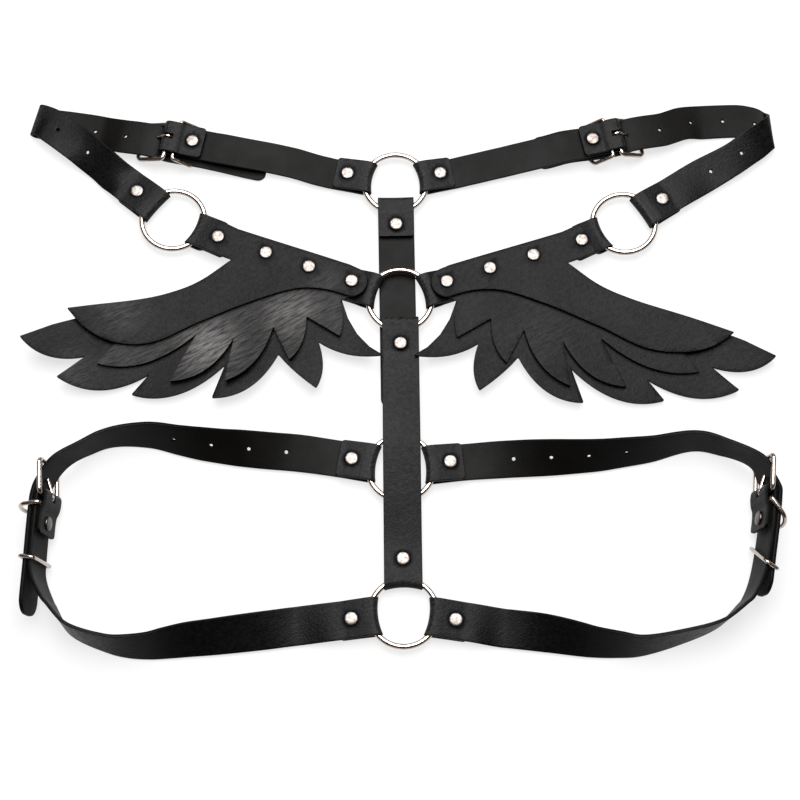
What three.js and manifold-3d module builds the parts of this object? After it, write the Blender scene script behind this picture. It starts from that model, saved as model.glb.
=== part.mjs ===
// Angel wing harness: black leather straps, metal rings and buckles, and a pair of three-layer wings,
// laid out flat. Millimetres, +Z up. The origin is on the underside of the chest strap, on the surface
// that the harness lies on. Left is -X, and the neck end is +Y.
import * as THREE from 'three';
import { mergeVertices } from 'three/addons/utils/BufferGeometryUtils.js';
import Module from 'manifold-3d';

const wasm = await Module();
wasm.setup();

// Driving dimensions
const LEATHER = 1.8;
const HALF_LEATHER = LEATHER / 2;
const GAP = 0.3;
const LAYER = LEATHER + GAP;
const STRAP_WIDTH = 20;
const HALF_STRAP = STRAP_WIDTH / 2;
const RING_RADIUS = 17.5;
const RING_WIRE = 1.5;
const RIVET = { cap: 3.8, shank: 1.2, back: 0.6, dome: 1.25, seat: GAP, sides: 7 };
const RIVET_LIFT = RIVET.back + RIVET.seat;
const PUNCH_RADIUS = 1.15;
const TAB_PAST_RIVET = 7;
const CHEST_END_WIDTH = 13;

// Where the rings lie: the height is that of the wire's centre
const RING_LEVEL = RIVET_LIFT + LEATHER + GAP + RING_WIRE;
const RINGS = {
  neck: { x: -1.9, y: 106.5, z: RING_LEVEL },
  wing: { x: 0.7, y: 35.9, z: RING_LEVEL + 1.2 },
  belt_far: { x: 1.1, y: -59.4, z: RING_LEVEL },
  belt_near: { x: 2.6, y: -137.1, z: RING_LEVEL },
  shoulder_left: { x: -125.7, y: 84.1, z: RING_LEVEL },
  shoulder_right: { x: 125.4, y: 82.0, z: RING_LEVEL },
};

// Buckle sizes, in a frame of its own: t runs along the strap towards the buckle, w across it and n out
// of its outer face, from the middle of the strap's main layer at the heel bar
const BUCKLE = {
  wire: 1.3, heelN: -2.5, outerT: 18, halfWidth: 11.8, corner: 2.5,
  prongWire: 0.9, dWire: 1.1, dBarT: -5,
  keeperT: -34, keeperWire: 1, keeperHalf: 11.6, rivetT: -14, tabEndT: -20.5, slotHalf: 1.7,
  tailN: HALF_LEATHER + RIVET.seat + RIVET.back + GAP + HALF_LEATHER,
};
const BELT_LEAN = THREE.MathUtils.degToRad(11);
const BELT_BUCKLE_HEIGHT = 13.5;
const NECK_BUCKLE_HEIGHT = 8.6;
const NECK_FRAME_OUT = 2.3;
const NECK_D = { half: 13.2, reach: 15.9, side: 0.7, turn: THREE.MathUtils.degToRad(141.5) };
const BELT_D = { half: 11.5, reach: 13, side: 0.58, turn: THREE.MathUtils.degToRad(97), shift: 0 };

const LEATHER_BLACK = { color: 0x1b1a1b, roughness: 0.55, metalness: 0 };
const POLISHED_NICKEL = { color: 0xc9c1b9, roughness: 0.2, metalness: 1 };

const harness = new THREE.Group();
harness.name = 'angel_wing_harness';

/** Adds a named mesh to a group. */
function addMesh(group, name, geometry, look) {
  const mesh = new THREE.Mesh(geometry, new THREE.MeshStandardMaterial(look));
  mesh.name = name;
  group.add(mesh);
  return mesh;
}

/** Keeps only the positions of a geometry, with its shared vertices merged. */
function weld(geometry) {
  const bare = geometry.clone();
  for (const name of Object.keys(bare.attributes)) {
    if (name !== 'position') bare.deleteAttribute(name);
  }
  return mergeVertices(bare, 1e-4);
}

function toSolid(geometry) {
  const welded = weld(geometry);
  return new wasm.Manifold(new wasm.Mesh({
    numProp: 3,
    vertProperties: new Float32Array(welded.attributes.position.array),
    triVerts: new Uint32Array(welded.index.array),
  }));
}

function toGeometry(solid) {
  const mesh = solid.getMesh();
  const geometry = new THREE.BufferGeometry();
  geometry.setAttribute('position', new THREE.BufferAttribute(mesh.vertProperties, 3));
  geometry.setIndex(new THREE.BufferAttribute(mesh.triVerts, 1));
  const flat = geometry.toNonIndexed();
  flat.computeVertexNormals();
  return flat;
}

/** Cuts a list of tools out of a body, and joins another list to it first. */
function shapeUp(body, tools, joined = []) {
  let solid = toSolid(body);
  for (const piece of joined) solid = solid.add(toSolid(piece));
  for (const tool of tools) solid = solid.subtract(toSolid(tool));
  return toGeometry(solid);
}

/** A geometry from triangles of 3D points, turned so that its faces point out. */
function fromTriangles(triangles) {
  let volume = 0;
  for (const [a, b, c] of triangles) volume += a.dot(new THREE.Vector3().crossVectors(b, c));
  const points = triangles.flatMap(([a, b, c]) => (volume > 0 ? [a, b, c] : [a, c, b]));
  return new THREE.BufferGeometry().setFromPoints(points);
}

/** Triangles between two rows of points that may differ in number. */
function zip(rowA, rowB) {
  const triangles = [];
  let i = 0;
  let j = 0;
  while (i < rowA.length - 1 || j < rowB.length - 1) {
    const nextA = (i + 1) / (rowA.length - 1);
    const nextB = (j + 1) / (rowB.length - 1);
    if (j === rowB.length - 1 || (i < rowA.length - 1 && nextA <= nextB)) {
      triangles.push([rowA[i], rowB[j], rowA[i + 1]]);
      i += 1;
    } else {
      triangles.push([rowA[i], rowB[j], rowB[j + 1]]);
      j += 1;
    }
  }
  return triangles;
}

const middle = (row) => row[0].clone().lerp(row[row.length - 1], 0.5);

/** The thickness direction of a strap at each station, longer where the strap bends sharply. */
function stationNormals(stations) {
  const mids = stations.map(middle);
  return stations.map((row, i) => {
    const before = mids[i].clone().sub(mids[Math.max(i - 1, 0)]);
    const after = mids[Math.min(i + 1, mids.length - 1)].clone().sub(mids[i]);
    if (i === 0) before.copy(after);
    if (i === mids.length - 1) after.copy(before);
    before.normalize();
    after.normalize();
    const tangent = before.clone().add(after);
    const across = row[row.length - 1].clone().sub(row[0]);
    const normal = new THREE.Vector3().crossVectors(tangent, across).normalize();
    return normal.divideScalar(tangent.length() / 2);
  });
}

/** A strap through its stations: each is a row of points across the strap, at half its thickness. */
function ribbon(stations) {
  const normals = stationNormals(stations);
  const offset = (row, i, side) => row.map((p) => p.clone().addScaledVector(normals[i], side * HALF_LEATHER));
  const upper = stations.map((row, i) => offset(row, i, 1));
  const lower = stations.map((row, i) => offset(row, i, -1));
  const triangles = [];
  const flip = (list) => list.map(([a, b, c]) => [a, c, b]);
  for (let i = 0; i < stations.length - 1; i += 1) {
    const side = (k, row) => [upper[row].at(k), lower[row].at(k)];
    triangles.push(...zip(upper[i], upper[i + 1]));
    triangles.push(...flip(zip(lower[i], lower[i + 1])));
    triangles.push(...flip(zip(side(0, i), side(0, i + 1))));
    triangles.push(...zip(side(-1, i), side(-1, i + 1)));
  }
  triangles.push(...flip(zip(upper[0], lower[0])));
  triangles.push(...zip(upper[upper.length - 1], lower[lower.length - 1]));
  return fromTriangles(triangles);
}

/** A row across a strap at a plan point, along a plan direction. */
function flatRow(point, along, z, offsets = [-HALF_STRAP, HALF_STRAP]) {
  return offsets.map((w) => new THREE.Vector3(point.x - along.y * w, point.y + along.x * w, z));
}

/**
 * Stations of a strap end folded round a ring, from the strap to the end of its tab. The fold follows the
 * ring's curve, so its middle reaches less far into the ring than its edges allow.
 */
function ringFold({ ring, toward, rivetAt, tabUp, base = RIVET_LIFT, half = HALF_STRAP }) {
  const along = new THREE.Vector2(toward.x - ring.x, toward.y - ring.y).normalize();
  const at = (a) => new THREE.Vector2(ring.x + along.x * a, ring.y + along.y * a);
  const turn = RING_WIRE + GAP + HALF_LEATHER;
  const under = base + HALF_LEATHER;
  const over = under + LAYER;
  const flatStart = rivetAt - RIVET.cap - 0.3;
  const tabEnd = rivetAt + TAB_PAST_RIVET;
  const row = (a, z) => flatRow(at(a), along, z, [-half, half]);
  const overWire = ring.z + turn;
  const overRows = [row(tabEnd, over), row(flatStart, over)];
  if (overWire > over + 1) overRows.push(row(RING_RADIUS + 2.2, overWire - 0.85));
  overRows.push(row(RING_RADIUS + 0.4, overWire));
  const underRows = [row(RING_RADIUS + 1.5, ring.z - turn), row(flatStart, under), row(tabEnd, under)];
  const edgeReach = Math.sqrt(RING_RADIUS ** 2 - half ** 2) - 2 * GAP;
  const reach = [{ w: -half, a: edgeReach }, { w: 0, a: RING_RADIUS - 2 * GAP }, { w: half, a: edgeReach }];
  const turnSteps = 4;
  const turnRows = [];
  for (let i = 0; i <= turnSteps; i += 1) {
    const angle = Math.PI / 2 - (Math.PI * i) / turnSteps;
    turnRows.push(reach.map(({ w, a }) => {
      const p = at(a - turn * Math.cos(angle));
      return new THREE.Vector3(p.x - along.y * w, p.y + along.x * w, ring.z + turn * Math.sin(angle));
    }));
  }
  const rows = [...overRows, ...turnRows, ...underRows];
  return {
    rows: tabUp ? rows.reverse() : rows,
    rivet: { ...at(rivetAt), z: base, layers: 2 },
    along,
  };
}

/** Stations along a resting edge. Rows give the edge in plan, the strap's turn in degrees and its lift. */
function edgeRoute(rows, restSide, steps = 2) {
  const curve = new THREE.CatmullRomCurve3(rows.map(({ x, y, turn }) => new THREE.Vector3(x, y, turn)));
  const lifts = rows.map(({ lift = 0 }) => lift);
  const count = (rows.length - 1) * steps;
  const stations = [];
  for (let i = 0; i <= count; i += 1) {
    const u = i / count;
    const { x, y, z: turn } = curve.getPoint(u);
    const tangent = curve.getTangent(u);
    const along = new THREE.Vector2(tangent.x, tangent.y).normalize();
    const angle = THREE.MathUtils.degToRad(turn);
    const k = Math.min(Math.floor(u * (rows.length - 1)), rows.length - 2);
    const lift = THREE.MathUtils.lerp(lifts[k], lifts[k + 1], u * (rows.length - 1) - k);
    const side = restSide === 'left' ? -1 : 1;
    const edge = new THREE.Vector3(x, y, lift + HALF_LEATHER * Math.abs(Math.cos(angle)) + 0.15);
    const raised = edge.clone().add(new THREE.Vector3(
      -along.y * side * Math.cos(angle), along.x * side * Math.cos(angle), Math.sin(angle),
    ).multiplyScalar(STRAP_WIDTH));
    stations.push(side < 0 ? [raised, edge] : [edge, raised]);
  }
  return stations;
}

/** Rows of a strap's far end, turned to run on from the strap's own rows. */
const flipRows = (rows) => rows.map((row) => row.toReversed());

/** Stations straight along a plan line: rows give the distance from the start and the height. */
function straightRoute(start, along, rows) {
  return rows.map(({ a, z }) => flatRow({ x: start.x + along.x * a, y: start.y + along.y * a }, along, z));
}

/** A prism cut along an axis, for a punched or riveted hole. */
function holeTool(point, axis, radius, length, sides) {
  const tool = new THREE.CylinderGeometry(radius, radius, length, sides);
  const ahead = new THREE.Vector3(0, 1, 0);
  const turn = new THREE.Quaternion().setFromUnitVectors(ahead, axis.clone().normalize());
  return tool.applyQuaternion(turn).translate(point.x, point.y, point.z);
}

const UP = new THREE.Vector3(0, 0, 1);
const rivetHole = ({ x, y, z }) => holeTool(new THREE.Vector3(x, y, z), UP, RIVET.shank + 0.6, 60, 4);

/** Tools for punched holes at distances along a strap, measured from its first station past a start row. */
function punchTools(stations, startRow, distances) {
  const normals = stationNormals(stations);
  const tools = [];
  let travelled = 0;
  for (let i = startRow; i < stations.length - 1; i += 1) {
    const from = middle(stations[i]);
    const to = middle(stations[i + 1]);
    const step = from.distanceTo(to);
    for (const distance of distances.filter((d) => d > travelled && d <= travelled + step)) {
      const share = (distance - travelled) / step;
      const normal = normals[i].clone().lerp(normals[i + 1], share);
      tools.push(holeTool(from.clone().lerp(to, share), normal, PUNCH_RADIUS, LEATHER * 2, 5));
    }
    travelled += step;
  }
  return tools;
}

const ROUND_TIP = [{ share: 0, width: 1 }, { share: 0.62, width: 0.78 }, { share: 1, width: 0.26 }];
const SQUARE_TIP = [{ share: 0, width: 1 }, { share: 0.7, width: 0.88 }, { share: 1, width: 0.6 }];

/** Narrows the last stretch of a strap to a tip, from a start row to an end row. */
function cutTip(start, end, tip) {
  return tip.map(({ share, width }) => {
    const row = start.map((p, k) => p.clone().lerp(end[k], share));
    const mid = middle(row);
    return row.map((p) => mid.clone().lerp(p, width));
  });
}

/** A double-cap rivet standing on its flat back, for a stack of leather of a given thickness. */
function rivetGeometry(stack) {
  const under = RIVET.back;
  const top = under + stack + 2 * RIVET.seat;
  const profile = [
    [0, 0], [RIVET.cap - 0.2, 0], [RIVET.shank, under], [RIVET.shank, top],
    [RIVET.cap, top], [RIVET.cap * 0.76, top + RIVET.dome * 0.72], [0, top + RIVET.dome],
  ].map(([r, z]) => new THREE.Vector2(r, z));
  return new THREE.LatheGeometry(profile, RIVET.sides).rotateX(Math.PI / 2);
}

/** Stands a rivet through a stack whose underside is at z. */
function addRivet(name, { x, y, z, layers }) {
  const mesh = addMesh(harness, name, rivetGeometry(layers * LEATHER + (layers - 1) * GAP), POLISHED_NICKEL);
  mesh.position.set(x, y, z - RIVET_LIFT);
}

/** A closed wire along a closed plan outline, which lies in XY. */
function closedWire(outline, radius, sides = 5) {
  const count = outline.length;
  const wire = new THREE.TorusGeometry(1, radius, sides, count);
  const position = wire.attributes.position;
  const normals = outline.map((p, i) => {
    const ahead = outline[(i + 1) % count].clone().sub(p).normalize();
    const behind = p.clone().sub(outline[(i + count - 1) % count]).normalize();
    const tangent = ahead.add(behind);
    const stretch = 2 / tangent.length();
    tangent.normalize();
    return new THREE.Vector2(tangent.y, -tangent.x).multiplyScalar(stretch);
  });
  for (let i = 0; i < position.count; i += 1) {
    const k = i % (count + 1) % count;
    const out = Math.hypot(position.getX(i), position.getY(i)) - 1;
    const p = outline[k].clone().addScaledVector(normals[k], out);
    position.setXYZ(i, p.x, p.y, position.getZ(i));
  }
  return wire;
}

/** A rectangle with rounded corners from low to high corner, anticlockwise. */
function roundedRectangle(low, high, corner) {
  const path = new THREE.Path();
  path.absarc(high.x - corner, high.y - corner, corner, 0, Math.PI / 2);
  path.absarc(low.x + corner, high.y - corner, corner, Math.PI / 2, Math.PI);
  path.absarc(low.x + corner, low.y + corner, corner, Math.PI, Math.PI * 1.5);
  path.absarc(high.x - corner, low.y + corner, corner, Math.PI * 1.5, Math.PI * 2);
  return path.curves.filter((curve) => curve.isEllipseCurve).flatMap((curve) => curve.getPoints(2));
}

/** A D outline: a straight bar on the low side and an arch above it. */
function dOutline({ half, reach, side }) {
  const bar = [[-half, 1], [1 - half, 0], [half - 1, 0], [half, 1]];
  const points = bar.map(([x, y]) => new THREE.Vector2(x, y));
  const archSteps = 7;
  const archBase = reach * side;
  for (let i = 0; i <= archSteps; i += 1) {
    const angle = (Math.PI * i) / archSteps;
    points.push(new THREE.Vector2(half * Math.cos(angle), archBase + (reach - archBase) * Math.sin(angle)));
  }
  return points;
}

/** The rest of a buckle: its frame, prong, D-ring and, on the belt, its keeper, in the buckle's own group. */
function addBuckle({ name, matrix, frameOut, dRing, keeper }) {
  const group = new THREE.Group();
  group.applyMatrix4(matrix);
  harness.add(group);
  const { heelN, outerT, halfWidth, corner, wire } = BUCKLE;

  const length = Math.hypot(outerT, frameOut - heelN);
  const ends = [new THREE.Vector2(0, -halfWidth), new THREE.Vector2(length, halfWidth)];
  const outline = roundedRectangle(...ends, corner);
  const frame = addMesh(group, `buckle_${name}`, closedWire(outline, wire, 6), POLISHED_NICKEL);
  frame.position.set(0, 0, heelN);
  frame.rotation.y = -Math.atan2(frameOut - heelN, outerT);

  addMesh(group, `prong_${name}`, prongGeometry(BUCKLE.prongWire, frameOut), POLISHED_NICKEL);

  const dWire = closedWire(dOutline(dRing), BUCKLE.dWire).rotateZ(-Math.PI / 2);
  const dMesh = addMesh(group, `d_ring_${name}`, dWire, POLISHED_NICKEL);
  dMesh.position.set(BUCKLE.dBarT, dRing.shift, heelN);
  dMesh.rotation.y = -dRing.turn;

  if (keeper) {
    const low = new THREE.Vector2(-HALF_LEATHER - GAP - 0.3 - BUCKLE.keeperWire, -BUCKLE.keeperHalf);
    const high = new THREE.Vector2(BUCKLE.tailN + HALF_LEATHER + 0.6 + BUCKLE.keeperWire, BUCKLE.keeperHalf);
    const keeperWire = closedWire(roundedRectangle(low, high, 1.4), BUCKLE.keeperWire);
    const loop = addMesh(group, `keeper_${name}`, keeperWire, POLISHED_NICKEL);
    loop.position.set(BUCKLE.keeperT, 0, 0);
    loop.rotation.y = -Math.PI / 2 + keeper.slant;
  }

  const stack = 2 * LEATHER + GAP;
  const rivet = addMesh(group, `rivet_buckle_${name}`, rivetGeometry(stack), POLISHED_NICKEL);
  rivet.position.set(BUCKLE.rivetT, 0, HALF_LEATHER + RIVET_LIFT);
  rivet.rotation.x = Math.PI;
  return group;
}

/** A bent wire from the heel bar's loop, through the tail and over the outer bar. */
function prongGeometry(radius, frameOut) {
  const { heelN, outerT, wire, prongWire } = BUCKLE;
  const loop = wire + GAP + prongWire;
  const span = Math.hypot(outerT, frameOut - heelN);
  const rise = Math.atan2(frameOut - heelN, outerT) + Math.asin((2 * loop) / span);
  const leave = rise - Math.PI / 2;
  const points = [];
  const loopSteps = 5;
  for (let i = loopSteps; i >= 0; i -= 1) {
    const angle = leave - (i / loopSteps) * Math.PI * 1.25;
    points.push([loop * Math.cos(angle), heelN + loop * Math.sin(angle)]);
  }
  points.push([outerT + loop * Math.cos(leave + Math.PI), frameOut + loop * Math.sin(leave + Math.PI)]);
  points.push([outerT + 0.3, frameOut + loop + 0.05]);
  points.push([outerT + 2.6, frameOut + loop]);
  const at = ([t, n]) => new THREE.Vector3(t, 0, n);
  const sides = 5;
  const rings = points.map(at).map((p, i, list) => {
    const ahead = list[Math.min(i + 1, list.length - 1)].clone().sub(list[Math.max(i - 1, 0)]).normalize();
    const out = new THREE.Vector3(-ahead.z, 0, ahead.x);
    return Array.from({ length: sides }, (_, k) => {
      const angle = (2 * Math.PI * k) / sides;
      const spoke = out.clone().multiplyScalar(Math.cos(angle)).setY(Math.sin(angle));
      return p.clone().addScaledVector(spoke, radius);
    });
  });
  return tubeFromRings(rings);
}

/** A closed body through rings of points. */
function tubeFromRings(rings) {
  const triangles = [];
  const loop = (ring) => [...ring, ring[0]];
  for (let i = 0; i < rings.length - 1; i += 1) triangles.push(...zip(loop(rings[i]), loop(rings[i + 1])));
  const cap = (ring) => ring.slice(1, -1).map((p, k) => [ring[0], p, ring[k + 2]]);
  triangles.push(...cap(rings[0]));
  triangles.push(...cap(rings[rings.length - 1]).map(([a, b, c]) => [a, c, b]));
  return fromTriangles(triangles);
}

/** The frame of a buckle at a heel point, for a plan direction and the way its outer face looks. */
function buckleMatrix(heel, along, outward) {
  const t = new THREE.Vector3(along.x, along.y, 0).normalize();
  const n = outward.clone().normalize();
  const w = new THREE.Vector3().crossVectors(n, t);
  return new THREE.Matrix4().makeBasis(t, w, n).setPosition(heel.x, heel.y, heel.z);
}

/** Rows across a strap in a buckle's frame, from pairs of t and n. */
function buckleRows(matrix, pairs, flip) {
  const half = flip ? -HALF_STRAP : HALF_STRAP;
  const place = (t, w, n) => new THREE.Vector3(t, w, n).applyMatrix4(matrix);
  return pairs.map(({ t, n, shift = 0 }) => [place(t, shift - half, n), place(t, shift + half, n)]);
}

/** Rows of a strap's main layer, its turn round the heel bar and its tab. */
function heelFold(matrix, startT, flip) {
  const { heelN, dBarT, rivetT, tabEndT } = BUCKLE;
  const pairs = [{ t: startT, n: 0 }];
  const turnSteps = 5;
  for (let i = 0; i <= turnSteps; i += 1) {
    const angle = Math.PI / 2 - (Math.PI * i) / turnSteps;
    pairs.push({ t: -heelN * Math.cos(angle), n: heelN - heelN * Math.sin(angle) });
  }
  pairs.push({ t: dBarT - 1.3, n: 2 * heelN });
  pairs.push({ t: rivetT + RIVET.cap + 0.2, n: -LAYER }, { t: tabEndT, n: -LAYER });
  return buckleRows(matrix, pairs, flip);
}

/** Tools that cut a strap's heel: the prong's slot and the rivet's hole. */
function heelTools(matrix) {
  const slot = new THREE.BoxGeometry(10.5, 2 * BUCKLE.slotHalf, 9).translate(0.75, 0, -2.8);
  const hole = holeTool(new THREE.Vector3(BUCKLE.rivetT, 0, 0), UP, RIVET.shank + 0.6, 9, 4);
  return [slot.applyMatrix4(matrix), hole.applyMatrix4(matrix)];
}

const prongTool = (matrix, frameOut) => prongGeometry(BUCKLE.prongWire + 0.45, frameOut).applyMatrix4(matrix);

// Rings
for (const [name, { x, y, z }] of Object.entries(RINGS)) {
  const wire = new THREE.TorusGeometry(RING_RADIUS, RING_WIRE, 5, 16);
  const ring = addMesh(harness, `ring_${name}`, wire, POLISHED_NICKEL);
  ring.position.set(x, y, z);
}

// Chest strap, from the neck ring to the far belt ring, lying lowest
{
  const top = ringFold({ ring: RINGS.neck, toward: RINGS.belt_far, rivetAt: 25.8, tabUp: true });
  const bottom = ringFold({
    ring: RINGS.belt_far, toward: RINGS.neck, rivetAt: 25.8, tabUp: true, half: CHEST_END_WIDTH / 2,
  });
  const main = straightRoute(RINGS.neck, top.along, [
    { a: 42, z: RIVET_LIFT + HALF_LEATHER }, { a: 52, z: HALF_LEATHER }, { a: 118, z: HALF_LEATHER },
    { a: 127, z: RIVET_LIFT + HALF_LEATHER },
  ]);
  const stations = [...top.rows.toReversed(), ...main, ...flipRows(bottom.rows)];
  const holes = [rivetHole(top.rivet), rivetHole(bottom.rivet)];
  addMesh(harness, 'strap_chest', shapeUp(ribbon(stations), holes), LEATHER_BLACK);
  addRivet('rivet_chest_top', top.rivet);
  addRivet('rivet_chest_bottom', bottom.rivet);
}

// Spine strap, from the wing ring over the far belt ring to the near belt ring
{
  const base = LEATHER + GAP + RIVET_LIFT;
  const top = ringFold({ ring: RINGS.wing, toward: RINGS.belt_near, rivetAt: 26.2, tabUp: false, base });
  const bottom = ringFold({ ring: RINGS.belt_near, toward: RINGS.wing, rivetAt: 28.1, tabUp: false });
  const hump = RINGS.belt_far.z + RING_WIRE + GAP + LEATHER + GAP + HALF_LEATHER;
  const onChest = LEATHER + GAP + HALF_LEATHER;
  const main = straightRoute(RINGS.wing, top.along, [
    { a: 42, z: onChest + 0.5 }, { a: 50, z: onChest + 0.3 }, { a: 56, z: onChest + 1.3 },
    { a: 63, z: hump - 2 }, { a: 74, z: hump }, { a: 107, z: hump }, { a: 115, z: hump - 1.6 },
    { a: 130, z: 4.2 },
  ]);
  const stations = [...top.rows.toReversed(), ...main, ...flipRows(bottom.rows)];
  const holes = [rivetHole(top.rivet), rivetHole(bottom.rivet)];
  addMesh(harness, 'strap_spine', shapeUp(ribbon(stations), holes), LEATHER_BLACK);
  addRivet('rivet_spine_top', top.rivet);
  addRivet('rivet_spine_bottom', bottom.rivet);
}

// Neck straps with their buckles, and the shoulder straps that fold back to them
const NECK_SIDES = [
  {
    side: 'left', heel: { x: -129.7, y: 131.6 }, neckRivetAt: 27.4, shoulderRivetAt: 26.6,
    crease: { x: -206.4, y: 147.1, radius: 1.6 }, dShift: -1.5,
    front: [{ x: -176.4, y: 127, z: 3.9 }, { x: -185.8, y: 134.5, z: 4.2 }, { x: -196.4, y: 142.1, z: 4.2 }],
    back: [{ x: -186, y: 142.5, z: 1.0 }, { x: -170, y: 139.6, z: 1.4 }],
    tail: [{ t: -16, shift: -1 }, { t: -28, shift: -2.6, drop: 1.5 }],
    tailEnd: { t: -57, shift: -7, drop: 4.5 },
    holes: [45.8, 68, 120, 139.8, 160.8],
  },
  {
    side: 'right', heel: { x: 122.7, y: 133.2 }, neckRivetAt: 25.8, shoulderRivetAt: 26,
    crease: { x: 210.1, y: 135.6, radius: 3.2 }, dShift: 1.5,
    front: [{ x: 194.9, y: 126, z: 7.4 }],
    back: [{ x: 196, y: 146, z: 1.0 }, { x: 182, y: 146, z: 1.6 }, { x: 165, y: 143.2, z: 3.6 }],
    tail: [{ t: -16, shift: 0 }, { t: -28, shift: 0, drop: 1.5 }],
    tailEnd: { t: -46, shift: 0, drop: 4.2 },
    holes: [42.5, 63.1, 96.8, 115, 134.3, 153.8, 173],
  },
];

for (const spec of NECK_SIDES) {
  const shoulderRing = RINGS[`shoulder_${spec.side}`];
  const ringEnd = ringFold({ ring: RINGS.neck, toward: spec.heel, rivetAt: spec.neckRivetAt, tabUp: true });
  const heel = { ...spec.heel, z: NECK_BUCKLE_HEIGHT };
  const matrix = buckleMatrix(heel, ringEnd.along, new THREE.Vector3(0, 0, -1));
  const distance = Math.hypot(spec.heel.x - RINGS.neck.x, spec.heel.y - RINGS.neck.y);
  const main = straightRoute(RINGS.neck, ringEnd.along, [
    { a: 45, z: RIVET_LIFT + HALF_LEATHER }, { a: distance - 62, z: 3.6 },
    { a: distance - 45, z: 5.4 }, { a: distance - 28, z: NECK_BUCKLE_HEIGHT },
  ]);
  const neckStations = [...ringEnd.rows.toReversed(), ...main, ...heelFold(matrix, -22, true)];
  const neckTools = [rivetHole(ringEnd.rivet), ...heelTools(matrix)];
  addMesh(harness, `strap_neck_${spec.side}`, shapeUp(ribbon(neckStations), neckTools), LEATHER_BLACK);
  addRivet(`rivet_neck_${spec.side}`, ringEnd.rivet);
  const dRing = { ...NECK_D, shift: spec.dShift };
  addBuckle({ name: `neck_${spec.side}`, matrix, frameOut: NECK_FRAME_OUT, dRing });

  // The shoulder strap leaves its ring outer face up, folds back at a slanted crease and runs to the buckle
  const shoulderEnd = ringFold({
    ring: shoulderRing, toward: spec.front[0], rivetAt: spec.shoulderRivetAt, tabUp: false,
  });
  const towards = (from, to) => new THREE.Vector2(to.x - from.x, to.y - from.y).normalize();
  const d1 = towards(spec.front.at(-1), spec.crease);
  const d2 = towards(spec.crease, spec.back[0]);
  const crease = d1.clone().add(d2).normalize();
  if (crease.dot(new THREE.Vector2(-d1.y, d1.x)) < 0) crease.negate();
  const outward = new THREE.Vector2(crease.y, -crease.x);
  if (outward.dot(d1) < 0) outward.negate();
  const creaseHalf = HALF_STRAP / outward.dot(d1);
  const slide = crease.dot(d1) / outward.dot(d1);
  const { radius } = spec.crease;
  const foldRows = [];
  const foldSteps = 5;
  for (let i = 0; i <= foldSteps; i += 1) {
    const angle = (Math.PI * i) / foldSteps;
    const z = HALF_LEATHER + 0.1 + radius * (1 + Math.cos(angle));
    const x = spec.crease.x + outward.x * radius * (Math.sin(angle) - 1) + crease.x * slide * radius * angle;
    const y = spec.crease.y + outward.y * radius * (Math.sin(angle) - 1) + crease.y * slide * radius * angle;
    const point = (h) => new THREE.Vector3(x + crease.x * h, y + crease.y * h, z);
    foldRows.push([point(-creaseHalf), point(creaseHalf)]);
  }
  const front = straightRoute(shoulderRing, shoulderEnd.along, [{ a: 44, z: HALF_LEATHER + 1.2 }]);
  spec.front.forEach((spot, i) => {
    const along = towards(spec.front[i - 1] ?? shoulderRing, spec.front[i + 1] ?? spec.crease);
    front.push(flatRow(spot, along, spot.z));
  });
  const backRows = spec.back.map((spot, i) => {
    return flatRow(spot, towards(spot, spec.back[i + 1] ?? spec.heel), spot.z).reverse();
  });
  const tailN = BUCKLE.tailN;
  const throughBuckle = [
    { t: 26, n: 0.2 }, { t: 18, n: -1 }, { t: 12, n: -1.5 }, { t: 8.5, n: -1 }, { t: 5.5, n: 0.6 },
    { t: 2.5, n: 2.4 }, { t: -3, n: tailN },
    ...spec.tail.map(({ t, shift, drop = 0 }) => ({ t, shift, n: tailN + drop })),
  ];
  const tailRows = buckleRows(matrix, throughBuckle, true);
  const end = spec.tailEnd;
  const tipLength = 4.5;
  const n = tailN + end.drop;
  const [beforeTip, tip] = buckleRows(matrix, [
    { t: end.t + tipLength, shift: end.shift, n }, { t: end.t, shift: end.shift, n },
  ], true);
  const shoulderStations = [
    ...shoulderEnd.rows.toReversed(), ...front, ...foldRows, ...backRows, ...tailRows,
    ...cutTip(beforeTip, tip, SQUARE_TIP),
  ];
  const start = shoulderEnd.rows.length - 4;
  const shoulderTools = [
    rivetHole(shoulderEnd.rivet), prongTool(matrix, NECK_FRAME_OUT),
    ...punchTools(shoulderStations, start, spec.holes),
  ];
  const shoulderBody = shapeUp(ribbon(shoulderStations), shoulderTools);
  addMesh(harness, `strap_shoulder_${spec.side}`, shoulderBody, LEATHER_BLACK);
  addRivet(`rivet_shoulder_${spec.side}`, shoulderEnd.rivet);
}

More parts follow.
